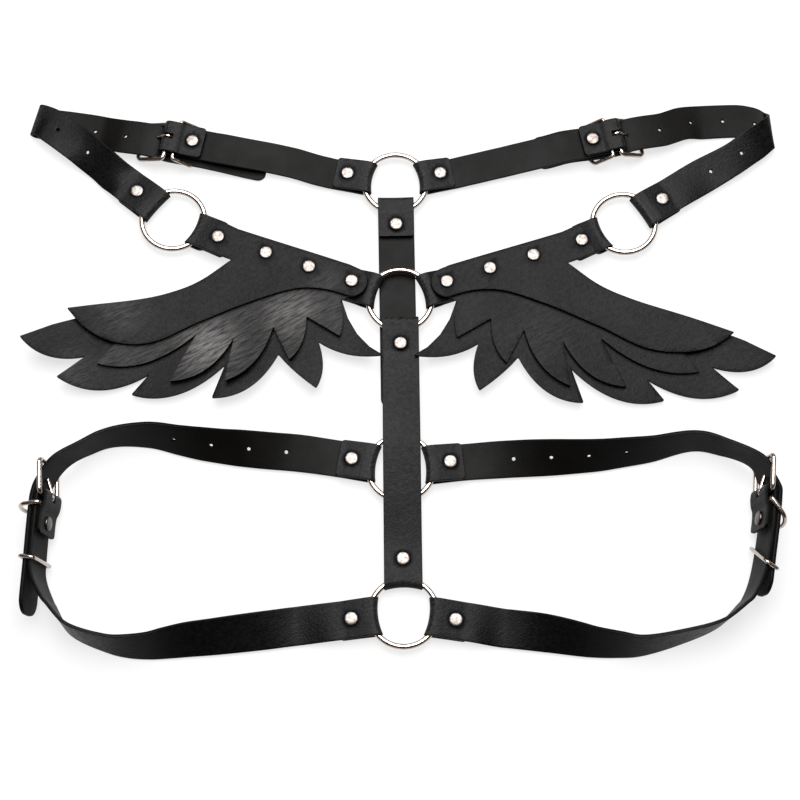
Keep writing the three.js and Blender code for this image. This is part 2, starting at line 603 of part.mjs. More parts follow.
// Belt: punched straps from the far ring, buckle straps from the near ring, meeting on edge at the sides
const BELT_SIDES = [
  {
    side: 'left', sign: -1, heel: { x: -185.3, y: -78 }, along: { x: 0.03, y: 1 }, frameOut: -0.5,
    farRivet: { x: -25.0, y: -54.9 }, nearRivet: { x: -24.0, y: -140.5 }, tailEndT: -62,
    punched: [
      { x: -58, y: -60.2, turn: 0 }, { x: -80, y: -58.2, turn: 2 }, { x: -106.2, y: -53.7, turn: 38 },
      { x: -133.2, y: -46.7, turn: 63 }, { x: -154.6, y: -46.5, turn: 80 },
      { x: -167, y: -52, turn: 85, lift: 2 },
    ],
    approach: [
      { t: 19.5, n: -7.2 }, { t: 14.6, n: -3 }, { t: 9.4, n: -0.2 }, { t: 4.2, n: 2 },
      { t: -2, n: BUCKLE.tailN },
    ],
    plain: [
      { x: -52, y: -153.5, turn: 0 }, { x: -80, y: -156.8, turn: 5 }, { x: -105, y: -158.8, turn: 30 },
      { x: -132, y: -160, turn: 58 }, { x: -150, y: -156.4, turn: 75 }, { x: -169.5, y: -147, turn: 84 },
      { x: -179.4, y: -131.5, turn: 96, lift: 1.5 },
    ],
    holes: [47, 67, 87, 107],
  },
  {
    side: 'right', sign: 1, heel: { x: 193.3, y: -76 }, along: { x: 0.17, y: 0.985 }, frameOut: -4,
    farRivet: { x: 27.0, y: -56.5 }, nearRivet: { x: 29.0, y: -141.0 }, tailEndT: -54,
    punched: [
      { x: 58, y: -64, turn: 0 }, { x: 82, y: -62.5, turn: 2 }, { x: 107.3, y: -59.8, turn: 38 },
      { x: 134, y: -54.8, turn: 62 }, { x: 158.6, y: -48.4, turn: 76 },
      { x: 175, y: -52.2, turn: 84, lift: 2 },
    ],
    approach: [
      { t: 14.6, n: -5.8 }, { t: 9, n: -2.6 }, { t: 4.6, n: 0.8 }, { t: 1.2, n: 2.7 },
      { t: -3, n: BUCKLE.tailN },
    ],
    plain: [
      { x: 54, y: -154.6, turn: 0 }, { x: 80, y: -157.2, turn: 5 }, { x: 100, y: -159.2, turn: 40 },
      { x: 124.3, y: -158.3, turn: 66 }, { x: 145.2, y: -152.1, turn: 80 }, { x: 165.5, y: -143, turn: 90 },
      { x: 178, y: -131, turn: 97, lift: 1.5 },
    ],
    holes: [47, 67, 87, 107],
  },
];

for (const spec of BELT_SIDES) {
  const outward = new THREE.Vector3(spec.sign * spec.along.y, -spec.sign * spec.along.x, 0).normalize();
  const leaning = outward.clone().multiplyScalar(Math.cos(BELT_LEAN));
  leaning.addScaledVector(UP, -Math.sin(BELT_LEAN));
  const matrix = buckleMatrix({ ...spec.heel, z: BELT_BUCKLE_HEIGHT }, spec.along, leaning);

  const nearEnd = ringFold({ ring: RINGS.belt_near, toward: spec.nearRivet, rivetAt: 27.2, tabUp: false });
  const plainStations = [
    ...nearEnd.rows.toReversed(), ...edgeRoute(spec.plain, spec.side), ...heelFold(matrix, -37, false),
  ];
  const plainTools = [rivetHole(nearEnd.rivet), ...heelTools(matrix)];
  addMesh(harness, `strap_belt_near_${spec.side}`, shapeUp(ribbon(plainStations), plainTools), LEATHER_BLACK);
  addRivet(`rivet_belt_near_${spec.side}`, nearEnd.rivet);
  addBuckle({
    name: `belt_${spec.side}`, matrix, frameOut: spec.frameOut, keeper: { slant: 0.14 },
    dRing: BELT_D,
  });

  const farEnd = ringFold({ ring: RINGS.belt_far, toward: spec.farRivet, rivetAt: 26.5, tabUp: true });
  const tailN = BUCKLE.tailN;
  const tail = buckleRows(matrix, [...spec.approach, { t: -40, n: tailN }], false);
  const tipLength = 8;
  const [beforeTip, tip] = buckleRows(matrix, [
    { t: spec.tailEndT + tipLength, n: tailN }, { t: spec.tailEndT, n: tailN },
  ], false);
  const punchedStations = [
    ...farEnd.rows.toReversed(), ...edgeRoute(spec.punched, spec.side), ...tail,
    ...cutTip(beforeTip, tip, ROUND_TIP),
  ];
  const start = farEnd.rows.length - 5;
  const punchedTools = [
    rivetHole(farEnd.rivet), prongTool(matrix, spec.frameOut),
    ...punchTools(punchedStations, start, spec.holes),
  ];
  const punchedBody = shapeUp(ribbon(punchedStations), punchedTools);
  addMesh(harness, `strap_belt_far_${spec.side}`, punchedBody, LEATHER_BLACK);
  addRivet(`rivet_belt_far_${spec.side}`, farEnd.rivet);
}

// Wings. A wing's pattern is laid out from its inner rivet: u runs out along the rivet line and v down
// towards the feather tips. Each feather row gives its tip, and the notch that follows it towards the body
const WING_RIVETS = [0, 25, 50.5, 79];
const FEATHERS = {
  bottom: [
    { tipU: 155.5, tipV: 96.6, notchU: 120.4, notchV: 90.6, lead: 0, bow: 5.6 },
    { tipU: 129.6, tipV: 107.7, notchU: 84.9, notchV: 86, lead: 0, bow: 7 },
    { tipU: 89.5, tipV: 99.9, notchU: 47.8, notchV: 67.5, lead: 0, bow: 8 },
    { tipU: 47.3, tipV: 87.6, notchU: 22.7, notchV: 52.3, lead: 0, bow: 6.8 },
    { tipU: -3.6, tipV: 63.6, notchU: 4.8, notchV: 38.2, lead: 1, bow: 3 },
    { tipU: -28.2, tipV: 37.2, notchU: -26.4, notchV: 32.2, lead: 3, bow: 0 },
  ],
  middle: [
    { tipU: 113, tipV: 91.6, notchU: 69, notchV: 56.4, lead: 0, bow: 7 },
    { tipU: 72.3, tipV: 87, notchU: 48.7, notchV: 51.9, lead: 0, bow: 6.5 },
    { tipU: 43.6, tipV: 77.6, notchU: 30.8, notchV: 39.1, lead: 0, bow: 5.5 },
    { tipU: 15.2, tipV: 54.6, notchU: 16, notchV: 27.3, lead: 0, bow: 3 },
    { tipU: -5.2, tipV: 32, notchU: 2, notchV: 12, lead: 0, bow: 1.5 },
  ],
};
const LONG_FEATHER = {
  lower: [
    [-1, 8.6], [12, 9.4], [26, 13.8], [45, 27.4], [70, 50.2], [91, 71], [111, 79.8], [126, 81], [138, 77.6],
  ],
  upper: [[138, 77.6], [118.5, 61.5], [92, 40.8], [78.8, 28], [66.8, 10]],
};
const WING_SIDES = [
  {
    side: 'left', sign: -1, x: -25.8, y: 44.9, slope: 20.1, curl: 19, facet: 24,
    sweep: { bottom: 5, middle: 3, top: 17 },
  },
  {
    side: 'right', sign: 1, x: 26.4, y: 44.6, slope: 18.8, curl: 5, facet: 34,
    sweep: { bottom: 0, middle: 0, top: 0 },
  },
];
const WING_LEVEL = { inner: 5.1, outer: 3.0, span: 78 };
const WING_SAG = { from: 10, span: 92 };
const CURL = { from: 80, span: 80 };

/** How far a wing's outer end has bent, growing from nothing at the curl's start. */
function outerBend(u) {
  const share = Math.max(0, (u - CURL.from) / CURL.span);
  return share < 0.5 ? share ** 2 : share - 0.25;
}

/** Height of a wing's underside: raised at the body, lying lower outwards, its outer end curling up. */
function wingHeight(u, v, curl) {
  const out = THREE.MathUtils.smoothstep(u, 0, WING_LEVEL.span);
  const rise = THREE.MathUtils.lerp(WING_LEVEL.inner, WING_LEVEL.outer, out);
  const sag = Math.min(1, Math.max(0, (v - WING_SAG.from) / WING_SAG.span));
  return rise * (1 - sag ** 2) + curl * outerBend(u);
}

/** Points along an edge that bows outwards by a given height, nearer its start than its end. */
function bowedEdge(from, to, bow, divisions) {
  const across = new THREE.Vector2(to.y - from.y, from.x - to.x).normalize();
  const control = from.clone().lerp(to, 0.42).addScaledVector(across, 2 * bow);
  return new THREE.QuadraticBezierCurve(from, control, to).getPoints(divisions);
}

/** The scalloped edge of a layer: each feather's short edge up to its tip, and its long edge to the notch. */
function featherEdge(rows) {
  const points = [];
  for (const { tipU, tipV, notchU, notchV, lead, bow } of rows) {
    const tip = new THREE.Vector2(tipU, tipV);
    const before = points.at(-1);
    if (lead > 0) points.push(...bowedEdge(before, tip, lead, 3).slice(1, -1));
    points.push(...bowedEdge(tip, new THREE.Vector2(notchU, notchV), bow, bow === 0 ? 1 : 4));
  }
  return points;
}

const corners = (pairs) => pairs.map(([u, v]) => new THREE.Vector2(u, v));
const spline = (pairs, divisions) => new THREE.SplineCurve(corners(pairs)).getPoints(divisions);

/** Outlines of the three layers in u and v. The upper edges of the lower two lie hidden under the top one. */
const WING_OUTLINES = {
  bottom: [
    ...featherEdge(FEATHERS.bottom),
    ...corners([[-15, 24.4], [-3.8, 16.3], [2, 10], [-2, 10], [-2, -7]]),
    ...corners([[54, -5.5], [78, 33], [104, 57], [126, 68], [142.5, 82.6]]),
  ],
  middle: [
    ...featherEdge(FEATHERS.middle),
    ...corners([[-3, 7], [-4, -6.5], [53, -5], [72, 27], [96, 62], [108, 77]]),
  ],
  top: [
    ...spline(LONG_FEATHER.lower, 14), ...spline(LONG_FEATHER.upper, 6).slice(1),
    ...corners([[82, 9.6], [82, -9.6], [70, -8.2], [4, -8.8]]),
    ...corners([[-4.6, -7.3], [-8.2, -2.8], [-8.2, 3], [-5, 7.4]]),
  ],
};

/** Splits triangles across their longest side until no side is longer than a limit in plan. */
function splitLong(triangles, limit) {
  const done = [];
  const waiting = [...triangles];
  while (waiting.length > 0) {
    const tri = waiting.pop();
    const sides = tri.map((p, i) => Math.hypot(p.u - tri[(i + 1) % 3].u, p.v - tri[(i + 1) % 3].v));
    const k = sides.indexOf(Math.max(...sides));
    if (sides[k] <= limit) {
      done.push(tri);
    } else {
      const [a, b, c] = [tri[k], tri[(k + 1) % 3], tri[(k + 2) % 3]];
      const half = { u: (a.u + b.u) / 2, v: (a.v + b.v) / 2, h: (a.h + b.h) / 2 };
      waiting.push([a, half, c], [half, b, c]);
    }
  }
  return done;
}

/** A plate of leather with an outline in u and v, bent to the wing's height at a level of its stack. */
function wingPlate(outline, level, facet, place) {
  const ring = THREE.ShapeUtils.isClockWise(outline) ? outline.toReversed() : outline;
  const count = ring.length;
  const corner = (k, h) => ({ u: ring[k % count].x, v: ring[k % count].y, h });
  const faces = THREE.ShapeUtils.triangulateShape(ring, []);
  const triangles = [
    ...faces.map(([a, b, c]) => [corner(a, LEATHER), corner(b, LEATHER), corner(c, LEATHER)]),
    ...faces.map(([a, b, c]) => [corner(a, 0), corner(c, 0), corner(b, 0)]),
  ];
  ring.forEach((_, k) => {
    triangles.push([corner(k, 0), corner(k + 1, 0), corner(k + 1, LEATHER)]);
    triangles.push([corner(k, 0), corner(k + 1, LEATHER), corner(k, LEATHER)]);
  });
  const bent = ({ u, v, h }) => place(u, v, level * LAYER + h);
  return fromTriangles(splitLong(triangles, facet).map((tri) => tri.map(bent)));
}

for (const spec of WING_SIDES) {
  const slope = THREE.MathUtils.degToRad(spec.slope);
  const place = (u, v, h) => new THREE.Vector3(
    spec.x + spec.sign * (u * Math.cos(slope) + v * Math.sin(slope)),
    spec.y + u * Math.sin(slope) - v * Math.cos(slope),
    wingHeight(u, v, spec.curl) + h,
  );
  const rivets = WING_RIVETS.map((u) => place(u, 0, 0));
  const holes = rivets.map((p) => rivetHole(p));
  const outerRivet = rivets[3];
  const loops = {
    bottom: { ring: RINGS.wing, rivet: rivets[0], layerBase: rivets[0].z - LAYER },
    top: { ring: RINGS[`shoulder_${spec.side}`], rivet: outerRivet, layerBase: outerRivet.z + LAYER },
  };
  const LEVELS = { bottom: 0, middle: 1, top: 2 };
  for (const [name, level] of Object.entries(LEVELS)) {
    const joined = [];
    if (loops[name]) {
      const { ring, rivet, layerBase } = loops[name];
      const rivetAt = Math.hypot(rivet.x - ring.x, rivet.y - ring.y);
      const fold = ringFold({ ring, toward: rivet, rivetAt, tabUp: false, base: layerBase });
      const plateMiddle = layerBase + LAYER + HALF_LEATHER;
      const inPlate = straightRoute(ring, fold.along, [{ a: rivetAt + 2.5, z: plateMiddle }]);
      joined.push(ribbon([...fold.rows.toReversed().slice(0, -1), ...inPlate]));
    }
    const swept = (u, v, h) => place(u, v - spec.sweep[name] * outerBend(u), h);
    const plate = wingPlate(WING_OUTLINES[name], level, spec.facet, swept);
    addMesh(harness, `wing_${name}_${spec.side}`, shapeUp(plate, holes, joined), LEATHER_BLACK);
  }
  const stacks = [
    { under: -1, layers: 4 }, { under: 0, layers: 3 }, { under: 0, layers: 3 }, { under: 1, layers: 2 },
  ];
  stacks.forEach(({ under, layers }, i) => {
    const { x, y, z } = rivets[i];
    addRivet(`rivet_wing_${spec.side}_${i + 1}`, { x, y, z: z + under * LAYER, layers });
  });
}

export default harness;
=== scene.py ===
"""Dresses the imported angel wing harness: leather straps, layered wings and nickel fittings."""

import logging
import math
from dataclasses import dataclass, field
from enum import Enum

import bpy
import numpy as np
from mathutils import Matrix, Vector


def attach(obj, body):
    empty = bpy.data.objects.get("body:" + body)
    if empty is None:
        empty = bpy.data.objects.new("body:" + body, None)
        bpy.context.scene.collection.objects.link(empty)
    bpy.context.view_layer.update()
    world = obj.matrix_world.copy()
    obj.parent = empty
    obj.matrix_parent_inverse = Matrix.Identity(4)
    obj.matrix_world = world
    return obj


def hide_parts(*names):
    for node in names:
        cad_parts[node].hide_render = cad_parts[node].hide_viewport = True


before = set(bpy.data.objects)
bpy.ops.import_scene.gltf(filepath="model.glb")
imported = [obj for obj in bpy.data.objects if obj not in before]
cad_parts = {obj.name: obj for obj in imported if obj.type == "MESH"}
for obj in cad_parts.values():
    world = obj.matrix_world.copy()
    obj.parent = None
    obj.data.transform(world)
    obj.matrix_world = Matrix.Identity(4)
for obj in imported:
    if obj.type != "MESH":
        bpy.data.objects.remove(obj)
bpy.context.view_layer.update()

LOG = logging.getLogger("harness")

Node = bpy.types.Node
Piece = bpy.types.Object
Material = bpy.types.Material
Pair = tuple[float, float]
Triple = tuple[float, float, float]

# Sizes are in millimetres, as in the part, and become metres when a mesh is made
MM = 0.001
LEATHER = 1.8
HALF_LEATHER = LEATHER / 2
GAP = 0.3
LAYER = LEATHER + GAP
HALF_STRAP = 10.0
RING_RADIUS = 17.5
RING_WIRE = 1.5
RIVET_CAP = 3.8
RIVET_LIFT = 0.9
TAB_PAST_RIVET = 7.0
SWELL = 0.8
PUNCH_RADIUS = 1.0
# Fade of the painted shade ring round a rivet, in millimetres.
SHADE_FADE = 1.3
FLOOR_GAP = 0.15
NEARBY = 1e-3
LEATHER_SMOOTH = math.radians(38)
METAL_SMOOTH = math.radians(50)

RINGS = {
    "neck": Vector((-1.9, 106.5, 4.5)),
    "wing": Vector((0.7, 35.9, 5.7)),
    "belt_far": Vector((1.1, -59.4, 4.5)),
    "belt_near": Vector((2.6, -137.1, 4.5)),
    "shoulder_left": Vector((-125.7, 84.1, 4.5)),
    "shoulder_right": Vector((125.4, 82.0, 4.5)),
}


class Face(Enum):
    """The three leather surfaces of a cut piece, as material slots."""

    FRONT = 0
    BACK = 1
    EDGE = 2


class Named(Enum):
    """A choice whose name is also a word in node names."""

    @property
    def word(self) -> str:
        """Its word in node names."""
        return self.name.lower()


class Side(Named):
    """A side of the layout: left is -X."""

    LEFT = -1
    RIGHT = 1


class Layer(Named):
    """A wing's layers, from the bottom up."""

    BOTTOM = 0
    MIDDLE = 1
    TOP = 2


class Graph:
    """A material's node graph, wired in short calls."""

    def __init__(self, name: str) -> None:
        """Starts a material of a name, with an output and a Principled shader."""
        self.material = bpy.data.materials.new(name)
        self.material.use_nodes = True
        self.tree = self.material.node_tree
        self.tree.nodes.clear()
        self.shader = self.tree.nodes.new("ShaderNodeBsdfPrincipled")
        output = self.tree.nodes.new("ShaderNodeOutputMaterial")
        self.link(self.shader, "BSDF", output, "Surface")
        self.coords = self.tree.nodes.new("ShaderNodeTexCoord")

    def node(self, kind: str, **settings: object) -> Node:
        """Adds a node and sets its properties and unlinked sockets.

        Args:
            kind: The node's type without its ShaderNode prefix.
            settings: Property names, or socket names with underscores for spaces.

        Returns:
            The new node.
        """
        made = self.tree.nodes.new("ShaderNode" + kind)
        for key, value in settings.items():
            if hasattr(made, key):
                setattr(made, key, value)
            else:
                made.inputs[key.replace("_", " ")].default_value = value
        return made

    def link(self, source: Node, out: str | int, target: Node, into: str | int) -> None:
        """Joins an output socket to an input socket."""
        self.tree.links.new(source.outputs[out], target.inputs[into])

    def placed(self, scale: Triple, turn: float = 0.0) -> Node:
        """Object coordinates, turned about Z and then scaled."""
        mapping = self.node("Mapping")
        mapping.vector_type = "TEXTURE"
        mapping.inputs["Scale"].default_value = tuple(1 / value for value in scale)
        mapping.inputs["Rotation"].default_value = (0, 0, turn)
        self.link(self.coords, "Object", mapping, "Vector")
        return mapping

    def noise(self, scale: float, detail: float = 2.0,
              source: Node | None = None) -> Node:
        """A noise texture on Object coordinates, or on a mapping."""
        made = self.node("TexNoise", Scale=scale, Detail=detail, Roughness=0.55)
        self.link(source or self.coords, "Vector" if source else "Object", made, "Vector")
        return made

    def spread(self, source: Node, low: float, high: float,
               start: float = 0.3, end: float = 0.7) -> Node:
        """Maps the middle range of a node's first output onto a low and a high value."""
        made = self.node("MapRange")
        for key, value in (("From Min", start), ("From Max", end), ("To Min", low), ("To Max", high)):
            made.inputs[key].default_value = value
        self.link(source, 0, made, "Value")
        return made

    def blend(self, factor: Node, first: tuple | Node, second: tuple) -> Node:
        """Mixes two colours by a factor node.

        Args:
            factor: A node whose first output is the share of the second colour.
            first: A colour, or an earlier mix.
            second: A colour.

        Returns:
            The mix node.
        """
        made = self.node("Mix", data_type="RGBA", clamp_factor=True)
        self.link(factor, 0, made, 0)
        if isinstance(first, tuple):
            made.inputs[6].default_value = (*first, 1)
        else:
            self.link(first, 2, made, 6)
        made.inputs[7].default_value = (*second, 1)
        return made

    def combine(self, first: Node, second: Node | float,
                operation: str = "MULTIPLY") -> Node:
        """The product, or another operation, of a node's first output with another's or a number."""
        made = self.node("Math", operation=operation)
        self.link(first, 0, made, 0)
        if isinstance(second, float):
            made.inputs[1].default_value = second
        else:
            self.link(second, 0, made, 1)
        return made

    def weighted(self, *parts: tuple[Node, float]) -> Node:
        """The sum of several nodes' first outputs, each with its weight."""
        made = None
        for node, weight in parts:
            part = self.combine(node, weight)
            made = self.combine(made, part, "ADD") if made else part
        return made

    def attribute(self, name: str, gain: float = 1.0) -> Node:
        """A point attribute's value times a gain."""
        made = self.node("Math", operation="MULTIPLY")
        self.link(self.node("Attribute", attribute_name=name), "Fac", made, 0)
        made.inputs[1].default_value = gain
        return made

    def surface(self, tone: Node, rough: Node | None, **values: float | tuple) -> None:
        """Wires the shader's colour and roughness, and sets its constant sockets.

        Args:
            tone: The colour mix.
            rough: The node for the roughness, if it varies.
            values: Socket names with underscores for spaces, and their values.
        """
        self.link(tone, 2, self.shader, "Base Color")
        if rough:
            self.link(rough, 0, self.shader, "Roughness")
        for key, value in values.items():
            self.shader.inputs[key.replace("_", " ")].default_value = value

    def bump(self, height: Node, strength: float, depth: float) -> None:
        """Ends a height chain in the shader's normal."""
        made = self.node("Bump", Strength=strength, Distance=depth * MM)
        self.link(height, 0, made, "Height")
        self.link(made, "Normal", self.shader, "Normal")


@dataclass(frozen=True)
class GrainLeather:
    """The dyed, lightly finished outer face: pebble grain, fine wrinkles with a painted sheen on creased
    places, and darker painted shade rings round the rivets.
    """

    name: str = "leather_grain"
    dark: Triple = (0.0005, 0.0005, 0.0005)
    light: Triple = (0.0018, 0.0017, 0.0017)
    # Pale colour of painted sheen: the bright sheen of creased wing plates and the highlights along strap
    # folds.
    sheen_tone: Triple = (0.094, 0.091, 0.09)
    # Bluish near-black painted shade that rings each rivet, standing in for the shadow of the pressed
    # recess round its cap.
    recess_shade: Triple = (0.0006, 0.0011, 0.0028)
    pebble: float = 1050.0
    pore: float = 2400.0
    cloud: float = 38.0
    speck: float = 520.0
    wrinkle: float = 950.0
    wrinkle_turn: float = -1.05
    middle: Pair = (0.36, 0.64)
    gloss: Pair = (0.28, 0.5)
    shade_share: float = 0.85
    shine: float = 0.063

    def make(self) -> Material:
        """Builds the material."""
        g = Graph(self.name)
        pebble = g.node("TexVoronoi", feature="SMOOTH_F1", Scale=self.pebble, Smoothness=0.6)
        g.link(g.coords, "Object", pebble, "Vector")
        pores, clouds, specks = g.noise(self.pore, 3), g.noise(self.cloud, 4), g.noise(self.speck, 5)
        mottling = g.weighted((clouds, 0.4), (specks, 0.6))
        wrinkles = g.noise(self.wrinkle, 3, g.placed((1, 0.13, 1), self.wrinkle_turn))
        # ring: the share of painted shade round the rivets.
        crease, ring = g.attribute("crease"), g.attribute("rivet", self.shade_share)
        # Share of painted sheen: the creasing squared, broken into lines by the wrinkles.
        sheen_share = g.combine(g.combine(crease, crease), g.spread(wrinkles, 0.3, 1.35, *self.middle))
        tone = g.blend(g.spread(mottling, 0, 1, *self.middle), self.dark, self.light)
        # Painted sheen on creases over the grain mottle, then the painted shade ring round each rivet.
        tone = g.blend(ring, g.blend(sheen_share, tone, self.sheen_tone), self.recess_shade)
        rough = g.combine(g.spread(mottling, *self.gloss, *self.middle), g.combine(ring, 0.5), "ADD")
        g.bump(g.weighted((pebble, 0.55), (pores, 0.35), (g.combine(wrinkles, crease), 6.0)), 0.6, 0.25)
        g.surface(tone, rough, Specular_IOR_Level=self.shine)
        return g.material


@dataclass(frozen=True)
class FleshLeather:
    """The unfinished inner face: warm near-black with short raised fibres."""

    name: str = "leather_flesh"
    dark: Triple = (0.0007, 0.0006, 0.0005)
    light: Triple = (0.002, 0.0018, 0.0015)
    # Painted shade round rivets, as on the grain face.
    recess_shade: Triple = (0.0006, 0.0011, 0.0028)
    fibre: float = 1500.0
    patch: float = 55.0
    gloss: Pair = (0.42, 0.56)
    shade_share: float = 0.85
    shine: float = 0.058

    def make(self) -> Material:
        """Builds the material."""
        g = Graph(self.name)
        fibres = g.noise(self.fibre, 4, g.placed((1, 0.45, 1), 0.4))
        patches = g.noise(self.patch, 4)
        mottling = g.weighted((fibres, 0.55), (patches, 0.45))
        tone = g.blend(g.spread(mottling, 0, 1, 0.32, 0.68), self.dark, self.light)
        # Painted shade ring round each rivet.
        tone = g.blend(g.attribute("rivet", self.shade_share), tone, self.recess_shade)
        g.bump(fibres, 0.5, 0.25)
        g.surface(tone, g.spread(patches, *self.gloss), Specular_IOR_Level=self.shine,
                  Sheen_Weight=0.008, Sheen_Roughness=0.55)
        return g.material


@dataclass(frozen=True)
class EdgeLeather:
    """The cut and dyed edge: nearly black, a little glossy, with a fibrous line."""

    name: str = "leather_edge"
    dark: Triple = (0.0005, 0.0005, 0.0005)
    light: Triple = (0.0017, 0.0016, 0.0015)
    fibre: float = 900.0
    gloss: Pair = (0.42, 0.6)
    shine: float = 0.06

    def make(self) -> Material:
        """Builds the material."""
        g = Graph(self.name)
        layers = g.noise(self.fibre, 3, g.placed((0.3, 0.3, 2.2)))
        tone = g.blend(g.spread(layers, 0, 1), self.dark, self.light)
        g.bump(layers, 0.2, 0.2)
        g.surface(tone, g.spread(layers, *self.gloss), Specular_IOR_Level=self.shine)
        return g.material


@dataclass(frozen=True)
class PolishedNickel:
    """Bright nickel plate with warm tarnish, drawn lines and small scuffs."""

    name: str = "nickel_wire"
    bright: Triple = (0.5, 0.45, 0.41)
    warm: Triple = (0.32, 0.235, 0.19)
    patch: float = 160.0
    share: Pair = (0.0, 0.55)
    gloss: Pair = (0.14, 0.28)
    scuff: float = 900.0

    def make(self) -> Material:
        """Builds the material."""
        g = Graph(self.name)
        tarnish = g.noise(self.patch, 4)
        scuffs = g.noise(self.scuff, 5, g.placed((1, 0.12, 1), 0.7))
        tone = g.blend(g.spread(tarnish, *self.share, 0.42, 0.68), self.bright, self.warm)
        g.bump(scuffs, 0.06, 0.1)
        g.surface(tone, g.spread(scuffs, *self.gloss), Metallic=1.0)
        return g.material


@dataclass(frozen=True)
class StudioPaper:
    """The pale floor: matt paper that glows enough to hide soft shadows, as in the photograph."""

    name: str = "studio_paper"
    dark: Triple = (0.125, 0.125, 0.125)
    light: Triple = (0.135, 0.135, 0.135)
    glow: float = 0.74

    def make(self) -> Material:
        """Builds the material."""
        g = Graph(self.name)
        tone = g.blend(g.spread(g.noise(3, 2), 0, 1), self.dark, self.light)
        g.surface(tone, None, Roughness=0.9, Specular_IOR_Level=0.1, Emission_Color=(1, 1, 1, 1),
                  Emission_Strength=self.glow)
        return g.material


@dataclass(frozen=True)
class Finishes:
    """The materials made once and shared by the pieces."""

    grain: Material
    wing: Material
    flesh: Material
    edge: Material
    wire: Material
    rivet: Material

    @classmethod
    def made(cls) -> "Finishes":
        """Makes every finish."""
        rivet = PolishedNickel(
            "nickel_rivet", (0.12, 0.112, 0.105), (0.05, 0.036, 0.03), 620.0, (0.0, 0.9), (0.22, 0.38))
        wing = GrainLeather("leather_wing", shine=0.05)
        return cls(GrainLeather().make(), wing.make(), FleshLeather().make(), EdgeLeather().make(),
                   PolishedNickel().make(), rivet.make())


def deselect() -> None:
    """Leaves edit mode and clears the selection."""
    if bpy.context.object and bpy.context.object.mode != "OBJECT":
        bpy.ops.object.mode_set(mode="OBJECT")
    bpy.ops.object.select_all(action="DESELECT")


def pick_faces(piece: Piece, faces: list[bpy.types.MeshPolygon]) -> None:
    """Selects only some faces of the active piece, ready for edit mode."""
    bpy.context.tool_settings.mesh_select_mode = (False, False, True)
    for items in (piece.data.vertices, piece.data.edges, piece.data.polygons):
        items.foreach_set("select", [False] * len(items))
    for face in faces:
        face.select = True


def apply_modifier(piece: Piece, kind: str, **settings: object) -> None:
    """Adds a modifier of a kind to the active piece, sets its properties and applies it."""
    modifier = piece.modifiers.new(kind.lower(), kind)
    for key, value in settings.items():
        setattr(modifier, key, value)
    bpy.ops.object.modifier_apply(modifier=modifier.name)


def face_outward() -> None:
    """Makes the active mesh's faces look outwards, and returns to object mode."""
    bpy.ops.object.mode_set(mode="EDIT")
    bpy.ops.mesh.select_all(action="SELECT")
    bpy.ops.mesh.normals_make_consistent(inside=False)
    bpy.ops.object.mode_set(mode="OBJECT")


def points_of(piece: Piece) -> np.ndarray:
    """The piece's points, in millimetres."""
    points = np.zeros(len(piece.data.vertices) * 3)
    piece.data.vertices.foreach_get("co", points)
    return points.reshape(-1, 3) / MM


def write_marks(piece: Piece, rivet: np.ndarray, crease: np.ndarray) -> None:
    """Stores, for the leather's materials, each point's nearness to a rivet (which sets the painted shade
    ring) and its creasing (which sets the wrinkles' bump and the painted sheen).
    """
    for name, value in (("rivet", rivet), ("crease", crease)):
        made = piece.data.attributes.new(name, "FLOAT", "POINT")
        made.data.foreach_set("value", value.astype(np.float32))


def settle(piece: Piece, node: str) -> Piece:
    """Names a finished piece for its node, and lets it ride and replace it.

    Args:
        piece: The finished object.
        node: The CAD node that it stands for.

    Returns:
        The same object.
    """
    piece.name = f"{node}_dressed"
    piece.data.name = piece.name
    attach(piece, "root")
    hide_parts(node)
    LOG.info("%s: %d faces", piece.name, len(piece.data.polygons))
    return piece


def catmull(points: list[Vector], share: float) -> Vector:
    """A point on a centripetal Catmull-Rom curve.

    Args:
        points: The curve's points.
        share: The place along it by point number, from 0 to 1.

    Returns:
        The point.
    """
    last = len(points) - 1
    k = min(int(share * last), last - 1)
    w = share * last - k
    p1, p2 = points[k], points[k + 1]
    p0 = points[k - 1] if k > 0 else 2 * p1 - p2
    p3 = points[k + 2] if k + 2 <= last else 2 * p2 - p1
    d0, d1, d2 = (max((b - a).length, 1e-4) ** 0.5 for a, b in ((p0, p1), (p1, p2), (p2, p3)))
    t1 = ((p1 - p0) / d0 - (p2 - p0) / (d0 + d1) + (p2 - p1) / d1) * d1
    t2 = ((p2 - p1) / d1 - (p3 - p1) / (d1 + d2) + (p3 - p2) / d2) * d1
    return (p1 * (2 * w**3 - 3 * w**2 + 1) + t1 * (w**3 - 2 * w**2 + w)
            + p2 * (3 * w**2 - 2 * w**3) + t2 * (w**3 - w**2))


def smooth_rows(knots: np.ndarray, values: np.ndarray, at: np.ndarray) -> np.ndarray:
    """Monotone cubic values between knots, which never overshoot a row.

    Args:
        knots: The distance of each row.
        values: The coordinates of each row.
        at: The distances wanted.

    Returns:
        The coordinates there.
    """
    step = np.diff(knots)[:, None]
    slope = np.diff(values, axis=0) / step
    before, after = slope[:-1], slope[1:]
    w1, w2 = 2 * step[1:] + step[:-1], step[1:] + 2 * step[:-1]
    same = before * after > 0
    safe_before, safe_after = np.where(same, before, 1), np.where(same, after, 1)
    inner = np.where(same, (w1 + w2) / (w1 / safe_before + w2 / safe_after), 0)
    tangent = np.vstack([slope[:1], inner, slope[-1:]])
    k = np.clip(np.searchsorted(knots, at, side="right") - 1, 0, len(knots) - 2)
    h = step[k]
    t = (at - knots[k])[:, None] / h
    return ((2 * t**3 - 3 * t**2 + 1) * values[k] + (t**3 - 2 * t**2 + t) * h * tangent[k]
            + (3 * t**2 - 2 * t**3) * values[k + 1] + (t**3 - t**2) * h * tangent[k + 1])


